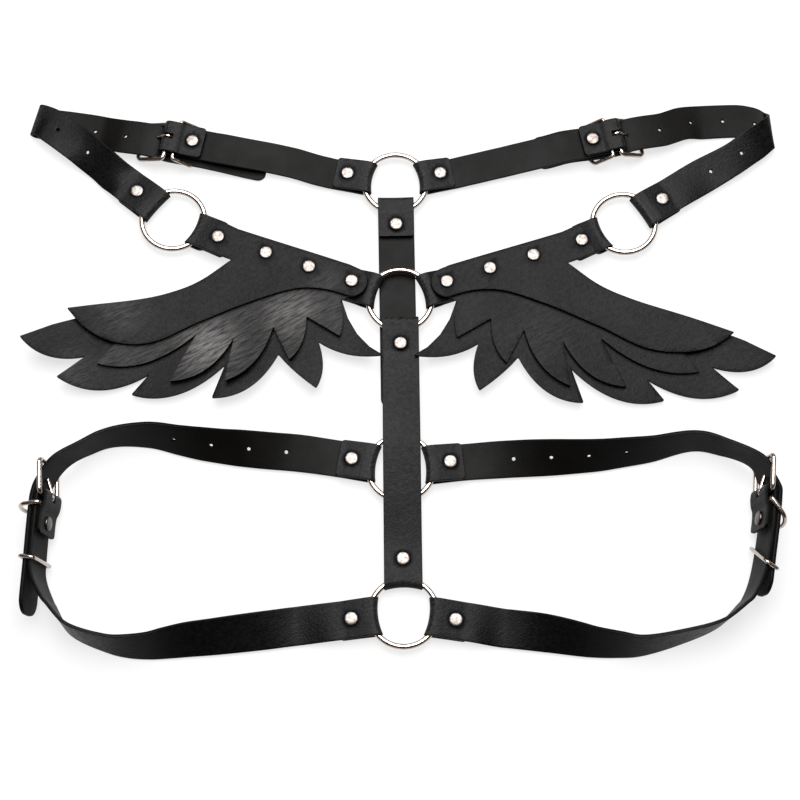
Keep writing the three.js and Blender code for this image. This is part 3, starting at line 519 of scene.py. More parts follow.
def flat_row(point: Vector, along: Vector, z: float, half: float = HALF_STRAP,
             tilt: float = 0.0) -> np.ndarray:
    """Three points across a strap that lies nearly flat: right edge, middle and left edge.

    Args:
        point: The middle, in plan.
        along: The strap's direction, in plan.
        z: The height of the leather's middle.
        half: Half the strap's width.
        tilt: The angle that its left edge is raised by.

    Returns:
        The row.
    """
    left = np.array((-along.y * math.cos(tilt), along.x * math.cos(tilt), math.sin(tilt)))
    middle = np.array((point.x, point.y, z))
    return np.array([middle - left * half, middle, middle + left * half])


def straight(start: Vector, along: Vector, pairs: list[Pair],
             half: float = HALF_STRAP) -> list[np.ndarray]:
    """Rows along a plan line, from pairs of distance and height."""
    return [flat_row(start + along * a, along, z, half) for a, z in pairs]


def row_between(first: Vector, last: Vector) -> np.ndarray:
    """A straight row between the places of a strap's two edges."""
    return np.array([first, (first + last) / 2, last])


def heading(start: Vector, end: Vector) -> Vector:
    """The plan direction from one place to another."""
    return Vector((end.x - start.x, end.y - start.y, 0)).normalized()


def quadratic(start: Vector, control: Vector, end: Vector, steps: int) -> list[Pair]:
    """Points of a curve that leaves and arrives along the lines to its control point."""
    shares = (i / steps for i in range(steps + 1))
    return [tuple(start * (1 - t) ** 2 + control * 2 * t * (1 - t) + end * t**2) for t in shares]


def ramp(value: float, start: float, length: float) -> float:
    """A share that rises from 0 at a start to 1 after a length."""
    return min(1.0, max(0.0, (value - start) / length))


def rivet_shade(distance: np.ndarray, radius: float) -> np.ndarray:
    """How strong the painted shade ring is at distances from a rivet's middle."""
    return np.clip((radius - distance) / SHADE_FADE, 0, 1)


@dataclass(frozen=True)
class RingFold:
    """A strap end folded round a ring and riveted to itself."""

    ring: Vector
    toward: Vector
    rivet_at: float
    tab_up: bool
    base: float = RIVET_LIFT + 0.4
    half: float = HALF_STRAP
    end: float = 14.2
    bow: float = 1.5
    swell: float = SWELL
    ease: float = 5.0
    steps: int = 12

    TURN = RING_WIRE + 0.1 + HALF_LEATHER
    OVER_START = RING_RADIUS + 0.2
    UNDER_START = RING_RADIUS + 1.5

    @property
    def along(self) -> Vector:
        """The plan direction from the ring to the strap."""
        return heading(self.ring, self.toward)

    @property
    def rivet(self) -> Vector:
        """The rivet's place, at the underside of the stack."""
        spot = self.ring + self.along * self.rivet_at
        return Vector((spot.x, spot.y, self.base))

    @property
    def datum(self) -> int:
        """The row from which punched holes are measured."""
        return len(self.over_rows()) + self.steps * 3 // 4 if self.tab_up else 3 + self.steps + 1

    def row(self, a: float, z: float) -> np.ndarray:
        """A straight row at a distance from the ring's centre."""
        return flat_row(self.ring + self.along * a, self.along, z, self.half)

    def over_rows(self) -> list[np.ndarray]:
        """Rows of the upper layer, towards the ring."""
        over = self.base + HALF_LEATHER + LAYER + self.swell
        start, near, top = self.OVER_START, self.rivet_at + self.ease, self.ring.z + self.TURN
        rows = [self.row(self.rivet_at + TAB_PAST_RIVET, over), self.row(near, over)]
        for share, drop in ((0.75, 0.74), (0.5, 0.47), (0.25, 0.21)):
            rows.append(self.row(start + (near - start) * share, top - (top - over) * drop))
        return rows + [self.row(start, top)]

    def under_rows(self) -> list[np.ndarray]:
        """Rows of the lower layer, away from the ring."""
        under, flat = self.base + HALF_LEATHER, self.rivet_at - RIVET_CAP - GAP
        return [self.row(self.UNDER_START, self.ring.z - self.TURN), self.row(flat, under),
                self.row(self.rivet_at + TAB_PAST_RIVET, under)]

    def turn_rows(self) -> list[np.ndarray]:
        """Rows of the turn, whose edges give way a little to the ring's curve."""
        middle = self.end + self.TURN
        rows = []
        for i in range(self.steps + 1):
            angle = math.pi / 2 - math.pi * i / self.steps
            row = self.row(0, self.ring.z + self.TURN * math.sin(angle))
            for k, reach in enumerate((middle - self.bow, middle, middle - self.bow)):
                row[k] += np.array(self.along) * (reach - self.TURN * math.cos(angle))
            rows.append(row)
        return rows

    def from_tab(self) -> list[np.ndarray]:
        """Rows from the end of the tab, round the ring and onto the strap."""
        rows = self.over_rows() + self.turn_rows() + self.under_rows()
        return rows if self.tab_up else rows[::-1]

    def to_tab(self) -> list[np.ndarray]:
        """Rows from the strap to the end of the tab, for a strap's far end."""
        return [row[::-1] for row in self.from_tab()[::-1]]


@dataclass(frozen=True)
class EdgeRow:
    """One row of a strap that stands on an edge: the edge in plan, the strap's turn and its lift."""

    x: float
    y: float
    turn: float
    lift: float = 0.0

    @classmethod
    def table(cls, *rows: tuple[float, ...]) -> "tuple[EdgeRow, ...]":
        """Rows from their x, y, turn and, where it isn't zero, lift."""
        return tuple(cls(*row) for row in rows)


def edge_route(rows: tuple[EdgeRow, ...], side: Side, steps: int = 8) -> list[np.ndarray]:
    """Rows of a strap that twists up from lying flat to standing on its edge.

    Args:
        rows: The resting edge.
        side: The side of the layout.
        steps: Rows made for each given one.

    Returns:
        The strap's rows.
    """
    points = [Vector((r.x, r.y, r.turn)) for r in rows]
    count = (len(rows) - 1) * steps
    made = []
    for i in range(count + 1):
        share = i / count
        here = catmull(points, share)
        along = catmull(points, min(share + NEARBY, 1)) - catmull(points, max(share - NEARBY, 0))
        along.z = 0
        along.normalize()
        angle = math.radians(here.z)
        k = min(i // steps, len(rows) - 2)
        lift = rows[k].lift + (rows[k + 1].lift - rows[k].lift) * (i / steps - k)
        way = side.value
        edge = Vector((here.x, here.y, lift + HALF_LEATHER * abs(math.cos(angle)) + FLOOR_GAP))
        rise = Vector((-along.y * way * math.cos(angle), along.x * way * math.cos(angle), math.sin(angle)))
        raised = edge + rise * 2 * HALF_STRAP
        made.append(row_between(raised, edge) if way < 0 else row_between(edge, raised))
    return made


@dataclass
class Strap:
    """A strip of leather along its rows, with punched holes, cut corners and a prong slot."""

    node: str
    rows: list[np.ndarray]
    grain_up: bool
    finishes: Finishes
    holes: list[float] = field(default_factory=list)
    datum: int = 0
    start_corner: Pair = (2.2, 2.2)
    end_corner: Pair = (2.2, 2.2)
    slot: tuple[int, int] | None = None
    rivets: list[Vector] = field(default_factory=list)
    spacing: float = 1.6

    COLUMNS = (1.0, 0.9, 0.72, 0.54, 0.38, 0.26, 0.17, 0.115)
    SLOT_PAST = 4.5
    HOLE_CLEAR = 0.75
    LEAST_STEP = 0.08
    EDGE_ROUND = 0.2
    SHARP = math.radians(50)
    # Reach of the painted shade ring round a rivet, and the height within which a rivet darkens the strap.
    SHADE_RADIUS = 5.5
    SHADE_DEPTH = 9.0
    BEND_GAIN = 2.2
    # Creasing on flat and sharply bent stretches: it sets the wrinkles' bump and a painted highlight along
    # folds.
    FLAT_CREASE_SHEEN = 0.1
    BENT_CREASE_SHEEN = 0.25

    @property
    def columns(self) -> list[float]:
        """Places across the strap, from its left edge to its right edge."""
        return [*self.COLUMNS, 0.0, *(-c for c in reversed(self.COLUMNS))]

    def distances(self, knots: np.ndarray, holes: list[float]) -> np.ndarray:
        """Distances along the strap at which the grid has a row.

        Args:
            knots: Distances of the given rows.
            holes: Distances of the holes.

        Returns:
            The sorted distances, with rows at each hole's rim and close rows at both ends.
        """
        places = set()
        for a, b in zip(knots[:-1], knots[1:]):
            count = max(1, math.ceil((b - a) / self.spacing))
            places.update(a + (b - a) * i / count for i in range(count))
        places.add(knots[-1])
        for end, way, (length, _) in ((knots[0], 1, self.start_corner), (knots[-1], -1, self.end_corner)):
            places.update(end + way * length * (1 - math.cos(math.pi / 2 * i / 8)) for i in range(9))
        marks = [h + PUNCH_RADIUS * k for h in holes for k in (-1, 0, 1)]
        kept = [p for p in places if all(abs(p - m) > self.HOLE_CLEAR for m in marks)]
        ordered = sorted(kept + marks)
        tidy = [ordered[0]]
        for place in ordered[1:]:
            if place - tidy[-1] > self.LEAST_STEP:
                tidy.append(place)
        return np.array(tidy)

    def widths(self, at: np.ndarray) -> np.ndarray:
        """The share of the width at each distance, narrowing in the cut corners."""
        share = np.ones(len(at))
        for gone, (length, depth) in ((at - at[0], self.start_corner), (at[-1] - at, self.end_corner)):
            inside = np.clip(1 - gone / length, 0, 1)
            share -= (1 - np.sqrt(1 - inside**2)) * depth / HALF_STRAP
        return share

    def grid(self) -> tuple[Piece, list[tuple[int, int]], Pair | None, np.ndarray]:
        """Adds a grid and lays it along the strap.

        Returns:
            The object, the row and column of each hole, the slot's distances and the rows' distances.
        """
        values = np.array(self.rows).reshape(len(self.rows), 9)
        steps = np.linalg.norm(np.diff(values[:, 3:6], axis=0), axis=1)
        knots = np.concatenate([[0.0], np.cumsum(steps)])
        holes = [float(knots[self.datum]) + h for h in self.holes]
        at = self.distances(knots, holes)
        laid = smooth_rows(knots, values, at).reshape(-1, 3, 3)
        share = self.widths(at)
        columns = self.columns
        deselect()
        bpy.ops.mesh.primitive_grid_add(
            x_subdivisions=len(columns) - 1, y_subdivisions=len(at) - 1, size=0.1)
        piece = bpy.context.object
        across = np.array(columns)[None, :] * share[:, None]
        low, mid, high = ((across**2 - across) / 2, 1 - across**2, (across**2 + across) / 2)
        points = (low[..., None] * laid[:, None, 0] + mid[..., None] * laid[:, None, 1]
                  + high[..., None] * laid[:, None, 2])
        centre = len(columns) // 2
        spots = [(int(np.argmin(np.abs(at - h))), centre) for h in holes]
        for row, column in spots:
            hub = points[row, column].copy()
            for i in (-1, 0, 1):
                for j in (-1, 0, 1):
                    out = points[row + i, column + j] - hub
                    if i or j:
                        points[row + i, column + j] = hub + out / np.linalg.norm(out) * PUNCH_RADIUS
        piece.data.vertices.foreach_set("co", points.reshape(-1) * MM)
        span = None
        if self.slot:
            span = (knots[self.slot[0]] - self.SLOT_PAST, knots[self.slot[1]] + self.SLOT_PAST)
        return piece, spots, span, at

    def build(self) -> Piece:
        """Models the strap, cuts it and gives it thickness and its finishes.

        Returns:
            The finished piece.
        """
        piece, spots, span, at = self.grid()
        mesh = piece.data
        count = len(self.columns)
        self.mark(piece)
        hubs = {row * count + column for row, column in spots}
        gone = [p for p in mesh.polygons if hubs & set(p.vertices)]
        if span:
            middle = range(count // 2 - 2, count // 2 + 2)
            for polygon in mesh.polygons:
                row, column = divmod(min(polygon.vertices), count)
                if column in middle and span[0] < at[row] and at[row + 1] < span[1]:
                    gone.append(polygon)
        if gone:
            pick_faces(piece, gone)
            bpy.ops.object.mode_set(mode="EDIT")
            bpy.ops.mesh.delete(type="FACE")
            bpy.ops.object.mode_set(mode="OBJECT")
        f = self.finishes
        faces = (f.grain, f.flesh, f.edge) if self.grain_up else (f.flesh, f.grain, f.edge)
        for material in faces:
            mesh.materials.append(material)
        apply_modifier(piece, "SOLIDIFY", thickness=LEATHER * MM, offset=0, use_quality_normals=True,
                       material_offset=Face.BACK.value, material_offset_rim=Face.EDGE.value)
        apply_modifier(piece, "BEVEL", width=self.EDGE_ROUND * MM, segments=2, limit_method="ANGLE",
                       angle_limit=self.SHARP, use_clamp_overlap=False)
        bpy.ops.object.shade_smooth_by_angle(angle=LEATHER_SMOOTH)
        return piece

    def place(self) -> None:
        """Builds the strap and lets it stand for its node."""
        settle(self.build(), self.node)

    def mark(self, piece: Piece) -> None:
        """Writes how near each point is to a rivet, for the painted shade ring, and how sharply the strap
        bends there, for the wrinkles' bump and a painted highlight along folds.

        Args:
            piece: The strap's grid.
        """
        points = points_of(piece)
        near = np.zeros(len(points))
        # Painted shade ring round each rivet at the strap's own level.
        for spot in self.rivets:
            out = np.linalg.norm(points[:, :2] - np.array(spot)[None, :2], axis=1)
            level = np.abs(points[:, 2] - spot.z) < self.SHADE_DEPTH
            near = np.maximum(near, rivet_shade(out, self.SHADE_RADIUS) * level)
        count = len(self.columns)
        spine = points.reshape(-1, count, 3)[:, count // 2]
        ahead = np.gradient(spine, axis=0)
        ahead /= np.maximum(np.linalg.norm(ahead, axis=1), 1e-6)[:, None]
        swing = np.linalg.norm(np.gradient(ahead, axis=0), axis=1)
        run = np.maximum(np.linalg.norm(np.gradient(spine, axis=0), axis=1), 0.05)
        bend = np.clip(swing / run * self.BEND_GAIN, 0, 1)
        # Sharper bends get more creasing: more wrinkle bump and a brighter painted fold highlight.
        write_marks(piece, near, np.repeat(self.FLAT_CREASE_SHEEN + self.BENT_CREASE_SHEEN * bend, count))


@dataclass(frozen=True)
class Rivet:
    """A double-cap rivet: a flat back, a shank and a shallow cap with a rolled rim."""

    back: float = 0.6
    shank: float = 1.2
    segments: int = 40

    def profile(self, stack: float) -> list[Pair]:
        """Radius and height from the back's centre to the cap's centre.

        Args:
            stack: The thickness of the leather.

        Returns:
            The pairs.
        """
        top = self.back + stack + 2 * GAP
        crown = [(3.5, -0.28), (3.74, -0.2), (3.8, -0.02), (3.76, 0.22), (3.6, 0.45), (3.3, 0.62),
                 (2.8, 0.74), (2.0, 0.82), (1.1, 0.86), (0.3, 0.87)]
        return [(0.6, 0.0), (3.2, 0.0), (3.55, 0.12), (3.6, 0.4), (3.3, 0.85), (self.shank, 0.88),
                (self.shank, top - 0.28), *((r, top + z) for r, z in crown)]

    def build(self, stack: float, place: Matrix, finish: Material) -> Piece:
        """Models a rivet by drawing a ring up its profile, and puts it in its place.

        Args:
            stack: The thickness of the leather.
            place: The frame that its back stands on.
            finish: Its metal.

        Returns:
            The piece.
        """
        deselect()
        profile = self.profile(stack)
        bpy.ops.mesh.primitive_circle_add(
            vertices=self.segments, radius=profile[0][0] * MM, fill_type="NGON", location=(0, 0, 0))
        piece = bpy.context.object
        bpy.ops.object.mode_set(mode="EDIT")
        bpy.ops.mesh.select_all(action="SELECT")
        for (r0, z0), (r1, z1) in zip(profile, profile[1:]):
            bpy.ops.mesh.extrude_region_move(TRANSFORM_OT_translate={"value": (0, 0, (z1 - z0) * MM)})
            bpy.ops.transform.resize(value=(r1 / r0, r1 / r0, 1), center_override=(0, 0, z1 * MM))
        face_outward()
        piece.data.transform(place)
        piece.data.materials.append(finish)
        bpy.ops.object.shade_smooth_by_angle(angle=METAL_SMOOTH)
        return piece


@dataclass(frozen=True)
class Wire:
    """A round wire bent along a path, closed or open."""

    radius: float
    closed: bool = True
    sides: int = 6

    def build(self, points: list[Vector], finish: Material) -> Piece:
        """Sweeps the wire along a path and turns it into a mesh.

        Args:
            points: The path, in millimetres.
            finish: Its metal.

        Returns:
            The piece.
        """
        deselect()
        bpy.ops.curve.primitive_bezier_circle_add(radius=0.01, location=(0, 0, 0))
        piece = bpy.context.object
        curve = piece.data
        curve.splines.clear()
        path = curve.splines.new("POLY")
        path.points.add(len(points) - 1)
        for spot, point in zip(path.points, points):
            spot.co = (*(point * MM), 1)
        path.use_cyclic_u = self.closed
        path.use_smooth = True
        curve.dimensions = "3D"
        curve.twist_mode = "MINIMUM"
        curve.bevel_depth = self.radius * MM
        curve.bevel_resolution = self.sides
        curve.use_fill_caps = not self.closed
        bpy.ops.object.convert(target="MESH")
        bpy.ops.object.mode_set(mode="EDIT")
        bpy.ops.mesh.select_all(action="SELECT")
        bpy.ops.mesh.remove_doubles(threshold=1e-6)
        face_outward()
        piece.data.materials.clear()
        piece.data.materials.append(finish)
        bpy.ops.object.shade_smooth_by_angle(angle=METAL_SMOOTH)
        return piece


def rounded_rectangle(low: Pair, high: Pair, corner: float,
                      steps: int = 8) -> list[Pair]:
    """A rectangle with rounded corners, anticlockwise.

    Args:
        low: Its low corner.
        high: Its high corner.
        corner: The corners' radius.
        steps: Divisions of each corner.

    Returns:
        The outline.
    """
    hubs = ((high[0], high[1]), (low[0], high[1]), (low[0], low[1]), (high[0], low[1]))
    inward = ((-1, -1), (1, -1), (1, 1), (-1, 1))
    points = []
    for k, ((x, y), (dx, dy)) in enumerate(zip(hubs, inward)):
        for i in range(steps + 1):
            angle = math.pi / 2 * (k + i / steps)
            points.append((x + corner * (dx + math.cos(angle)), y + corner * (dy + math.sin(angle))))
    return points


@dataclass(frozen=True)
class DRing:
    """A D-ring's sizes: half its width, its reach, the share of straight side, and its turn."""

    half: float
    reach: float
    side: float
    turn: float

    def outline(self) -> list[Pair]:
        """The D in its own plane: reach first, width second."""
        bend = 1.6
        base = self.reach * self.side
        points = []
        for corner, start in ((-self.half + bend, math.pi), (self.half - bend, math.pi * 1.5)):
            for i in range(7):
                angle = start + math.pi / 2 * i / 6
                points.append((corner + bend * math.cos(angle), bend + bend * math.sin(angle)))
        for i in range(33):
            angle = math.pi * i / 32
            points.append((self.half * math.cos(angle), base + (self.reach - base) * math.sin(angle)))
        return [(y, -x) for x, y in points]


@dataclass(frozen=True)
class Buckle:
    """A buckle at a strap's end: a bent wire frame, a prong, a D-ring and, on the belt, a keeper.

    Its own frame has t along the strap, w across it and n out of its outer face.
    """

    name: str
    place: Matrix
    frame_out: float
    d_ring: DRing
    d_shift: float = 0.0
    reach: float = 18.0
    frame_shift: float = 0.0
    half_width: float = 11.8
    tab_half: float = HALF_STRAP
    keeper_slant: float = 0.14
    keeper_roll: float = 0.0
    keeper: bool = False
    finishes: Finishes | None = None

    WIRE = 1.3
    HEEL_N = -2.5
    PRONG = 0.9
    D_WIRE = 1.1
    D_BAR_T = -5.0
    RIVET_T = -14.0
    TAB_END_T = -20.5
    TAIL_N = 3.0
    KEEPER_T = -34.0
    KEEPER_WIRE = 1.0
    KEEPER_HALF = 11.6
    FOLD_STEPS = 14
    PRONG_STEPS = 16
    PRONG_TURN = math.pi * 1.25
    FRAME_CORNER = 2.5
    KEEPER_CORNER = 1.9

    @classmethod
    def placed(cls, name: str, heel: Vector, along: Vector, outward: Vector, **more: object) -> "Buckle":
        """Puts a buckle at a heel point.

        Args:
            name: Its ending in node names.
            heel: The middle of the strap's main layer at the heel bar.
            along: The strap's direction towards the buckle.
            outward: The way that its outer face looks.
            more: Other fields.

        Returns:
            The buckle.
        """
        t = Vector((along.x, along.y, 0)).normalized()
        n = outward.normalized()
        w = n.cross(t)
        place = Matrix.Translation(heel) @ Matrix((t, w, n)).transposed().to_4x4()
        return cls(name, place, **more)

    def at(self, t: float, w: float, n: float) -> Vector:
        """A point of the buckle's frame, in the part's frame."""
        return self.place @ Vector((t, w, n))

    def rows(self, pairs: list[tuple], flip: bool, half: float = HALF_STRAP) -> list[np.ndarray]:
        """Rows across a strap from t, n and a sideways shift."""
        half = -half if flip else half
        made = []
        for t, n, *rest in pairs:
            shift = rest[0] if rest else 0.0
            made.append(np.array([self.at(t, shift + k * half, n) for k in (-1, 0, 1)]))
        return made

    @classmethod
    def slot_after(cls, count: int) -> tuple[int, int]:
        """The first and last row of the heel's turn, where the prong's slot is, after other rows."""
        return count + 1, count + 1 + cls.FOLD_STEPS

    def heel_fold(self, start: float, flip: bool) -> list[np.ndarray]:
        """Rows of the strap's main layer, its turn round the heel bar and its tab."""
        pairs = [(start, 0.0)]
        for i in range(self.FOLD_STEPS + 1):
            angle = math.pi / 2 - math.pi * i / self.FOLD_STEPS
            pairs.append((-self.HEEL_N * math.cos(angle), self.HEEL_N * (1 - math.sin(angle))))
        tab = -LAYER - SWELL
        pairs += [(-3.0, -4.95), (self.D_BAR_T - 1.0, -4.4), (-9.0, -3.2), (-11.0, tab - 0.1),
                  (-13.0, tab), (self.TAB_END_T, tab)]
        return self.rows(pairs, flip, self.tab_half)

    def frame_path(self) -> list[Vector]:
        """The frame's rounded rectangle, bent down to its outer bar."""
        rise = self.frame_out - self.HEEL_N
        length, tilt = math.hypot(self.reach, rise), math.atan2(rise, self.reach)
        flat = rounded_rectangle((0, -self.half_width), (length, self.half_width), self.FRAME_CORNER)
        return [self.at(x * math.cos(tilt), y + self.frame_shift, self.HEEL_N + x * math.sin(tilt))
                for x, y in flat]

    def d_path(self) -> list[Vector]:
        """The D-ring, turned out of its bar."""
        c, s = math.cos(self.d_ring.turn), math.sin(self.d_ring.turn)
        return [self.at(self.D_BAR_T + x * c, self.d_shift + y, self.HEEL_N + x * s)
                for x, y in self.d_ring.outline()]

    def keeper_path(self) -> list[Vector]:
        """The keeper, a rounded rectangle round both straps."""
        low = -HALF_LEATHER - GAP - 0.3 - self.KEEPER_WIRE
        high = self.TAIL_N + HALF_LEATHER + 0.6 + self.KEEPER_WIRE
        flat = rounded_rectangle((low, -self.KEEPER_HALF), (high, self.KEEPER_HALF), self.KEEPER_CORNER)
        s, roll = self.keeper_slant, math.tan(self.keeper_roll)
        return [self.at(self.KEEPER_T + x * math.sin(s) - y * roll, y, x * math.cos(s)) for x, y in flat]

    def prong_path(self) -> list[Vector]:
        """The prong, from its loop on the heel bar over the outer bar."""
        loop = self.WIRE + GAP + self.PRONG
        rise = self.frame_out - self.HEEL_N
        slope = math.atan2(rise, self.reach) + math.asin(2 * loop / math.hypot(self.reach, rise))
        leave = slope - math.pi / 2
        pairs = []
        for i in range(self.PRONG_STEPS, -1, -1):
            angle = leave - i / self.PRONG_STEPS * self.PRONG_TURN
            pairs.append((loop * math.cos(angle), self.HEEL_N + loop * math.sin(angle)))
        bar = (self.reach - loop * math.cos(leave), self.frame_out - loop * math.sin(leave))
        first, over = pairs[-1], self.frame_out + loop
        pairs += [tuple(a + (b - a) * k for a, b in zip(first, bar)) for k in (0.5, 0.9)]
        pairs += [bar, (self.reach + 0.3, over + 0.05), (self.reach + 1.6, over + 0.02),
                  (self.reach + 2.6, over)]
        return [self.at(t, 0, n) for t, n in pairs]

    def rivet_place(self) -> Matrix:
        """The rivet's frame: its back on the strap's outer face and its cap on the tab."""
        return (self.place @ Matrix.Translation((self.RIVET_T, 0, HALF_LEATHER + RIVET_LIFT))
                @ Matrix.Rotation(math.pi, 4, "X"))

    def build(self) -> None:
        """Models the buckle's pieces."""
        wires = [("buckle", Wire(self.WIRE), self.frame_path()),
                 ("prong", Wire(self.PRONG, closed=False), self.prong_path()),
                 ("d_ring", Wire(self.D_WIRE), self.d_path())]
        if self.keeper:
            wires.append(("keeper", Wire(self.KEEPER_WIRE), self.keeper_path()))
        for word, wire, path in wires:
            settle(wire.build(path, self.finishes.wire), f"{word}_{self.name}")
        place = scaled(self.rivet_place())
        rivet = Rivet().build(2 * LEATHER + GAP + SWELL, place, self.finishes.rivet)
        settle(rivet, f"rivet_buckle_{self.name}")


def scaled(place: Matrix) -> Matrix:
    """A frame given in millimetres, for meshes in metres."""
    made = place.copy()
    made.translation *= MM
    return made


def upright_rivet(node: str, spot: Vector, finishes: Finishes, layers: int = 2,
                  swell: float = SWELL + 0.6) -> None:
    """Stands a rivet through a flat stack of leather.

    Args:
        node: The rivet's node.
        spot: The underside of the stack.
        finishes: The materials.
        layers: How many layers it holds.
        swell: How far the layers stand apart.
    """
    place = Matrix.Translation((spot.x * MM, spot.y * MM, (spot.z - RIVET_LIFT) * MM))
    stack = layers * LEATHER + (layers - 1) * GAP + swell
    settle(Rivet().build(stack, place, finishes.rivet), node)


@dataclass
class RingSet:
    """The six round rings that join the straps."""

    finishes: Finishes

    def build(self) -> None:
        """Models each ring as a welded wire hoop."""
        for name, spot in RINGS.items():
            deselect()
            bpy.ops.mesh.primitive_torus_add(
                location=spot * MM, major_radius=RING_RADIUS * MM, minor_radius=RING_WIRE * MM,
                major_segments=112, minor_segments=18)
            piece = bpy.context.object
            bpy.ops.object.transform_apply(location=True, rotation=True, scale=True)
            piece.data.materials.append(self.finishes.wire)
            bpy.ops.object.shade_smooth()
            settle(piece, f"ring_{name}")


@dataclass
class CentreStraps:
    """The chest strap, lying lowest, and the spine strap that runs over it."""

    finishes: Finishes

    def strap(self, word: str, top: RingFold, bottom: RingFold, grain_up: bool,
              heights: list[Pair]) -> None:
        """Models a strap between two rings, with a rivet at each end.

        Args:
            word: Its word in node names.
            top: Its fold at the upper ring.
            bottom: Its fold at the lower ring.
            grain_up: Whether its grain looks up.
            heights: Distances from the upper ring, with the strap's height there.
        """
        rows = top.from_tab() + straight(top.ring, top.along, heights) + bottom.to_tab()
        Strap(f"strap_{word}", rows, grain_up, self.finishes, rivets=[top.rivet, bottom.rivet]).place()
        upright_rivet(f"rivet_{word}_top", top.rivet, self.finishes)
        upright_rivet(f"rivet_{word}_bottom", bottom.rivet, self.finishes)

    def build(self) -> None:
        """Models both straps and their rivets."""
        self.strap("chest", RingFold(RINGS["neck"], RINGS["belt_far"], 25.8, True, end=10.0, bow=0.2),
                   RingFold(RINGS["belt_far"], RINGS["neck"], 25.8, True, half=6.5), False,
                   [(42, 1.8), (52, 0.9), (118, 0.9), (127, 1.8)])
        wing_fold = RingFold(RINGS["wing"], RINGS["belt_near"], 26.2, False, base=3.0, end=11.2, bow=0.2)
        self.strap("spine", wing_fold, RingFold(RINGS["belt_near"], RINGS["wing"], 28.1, False), True,
                   [(42, 6.4), (50, 6.8), (58, 7.6), (66, 8.6), (74, 9.3), (82, 9.4), (98, 8.4),
                    (112, 7.2), (125, 5.9)])


@dataclass(frozen=True)
class Bend:
    """A strap's turn back under itself, from its near edge to its far edge, each with its own radius."""

    near: Vector
    far: Vector
    near_radius: float
    far_radius: float

    def rows(self, side: Side, steps: int = 14) -> list[np.ndarray]:
        """Rows of the turn, from the upper layer to the lower one.

        Args:
            side: The side of the layout.
            steps: Divisions of the turn.

        Returns:
            The rows.
        """
        line = (self.far - self.near).normalized()
        out = Vector((line.y, -line.x, 0)) * side.value
        rows = []
        for i in range(steps + 1):
            angle = math.pi * i / steps
            ends = []
            for edge, r in ((self.near, self.near_radius), (self.far, self.far_radius)):
                spot = edge + out * r * (math.sin(angle) - 1)
                ends.append(Vector((spot.x, spot.y, HALF_LEATHER + 0.1 + r * (1 + math.cos(angle)))))
            rows.append(row_between(*(ends if side is Side.RIGHT else ends[::-1])))
        return rows


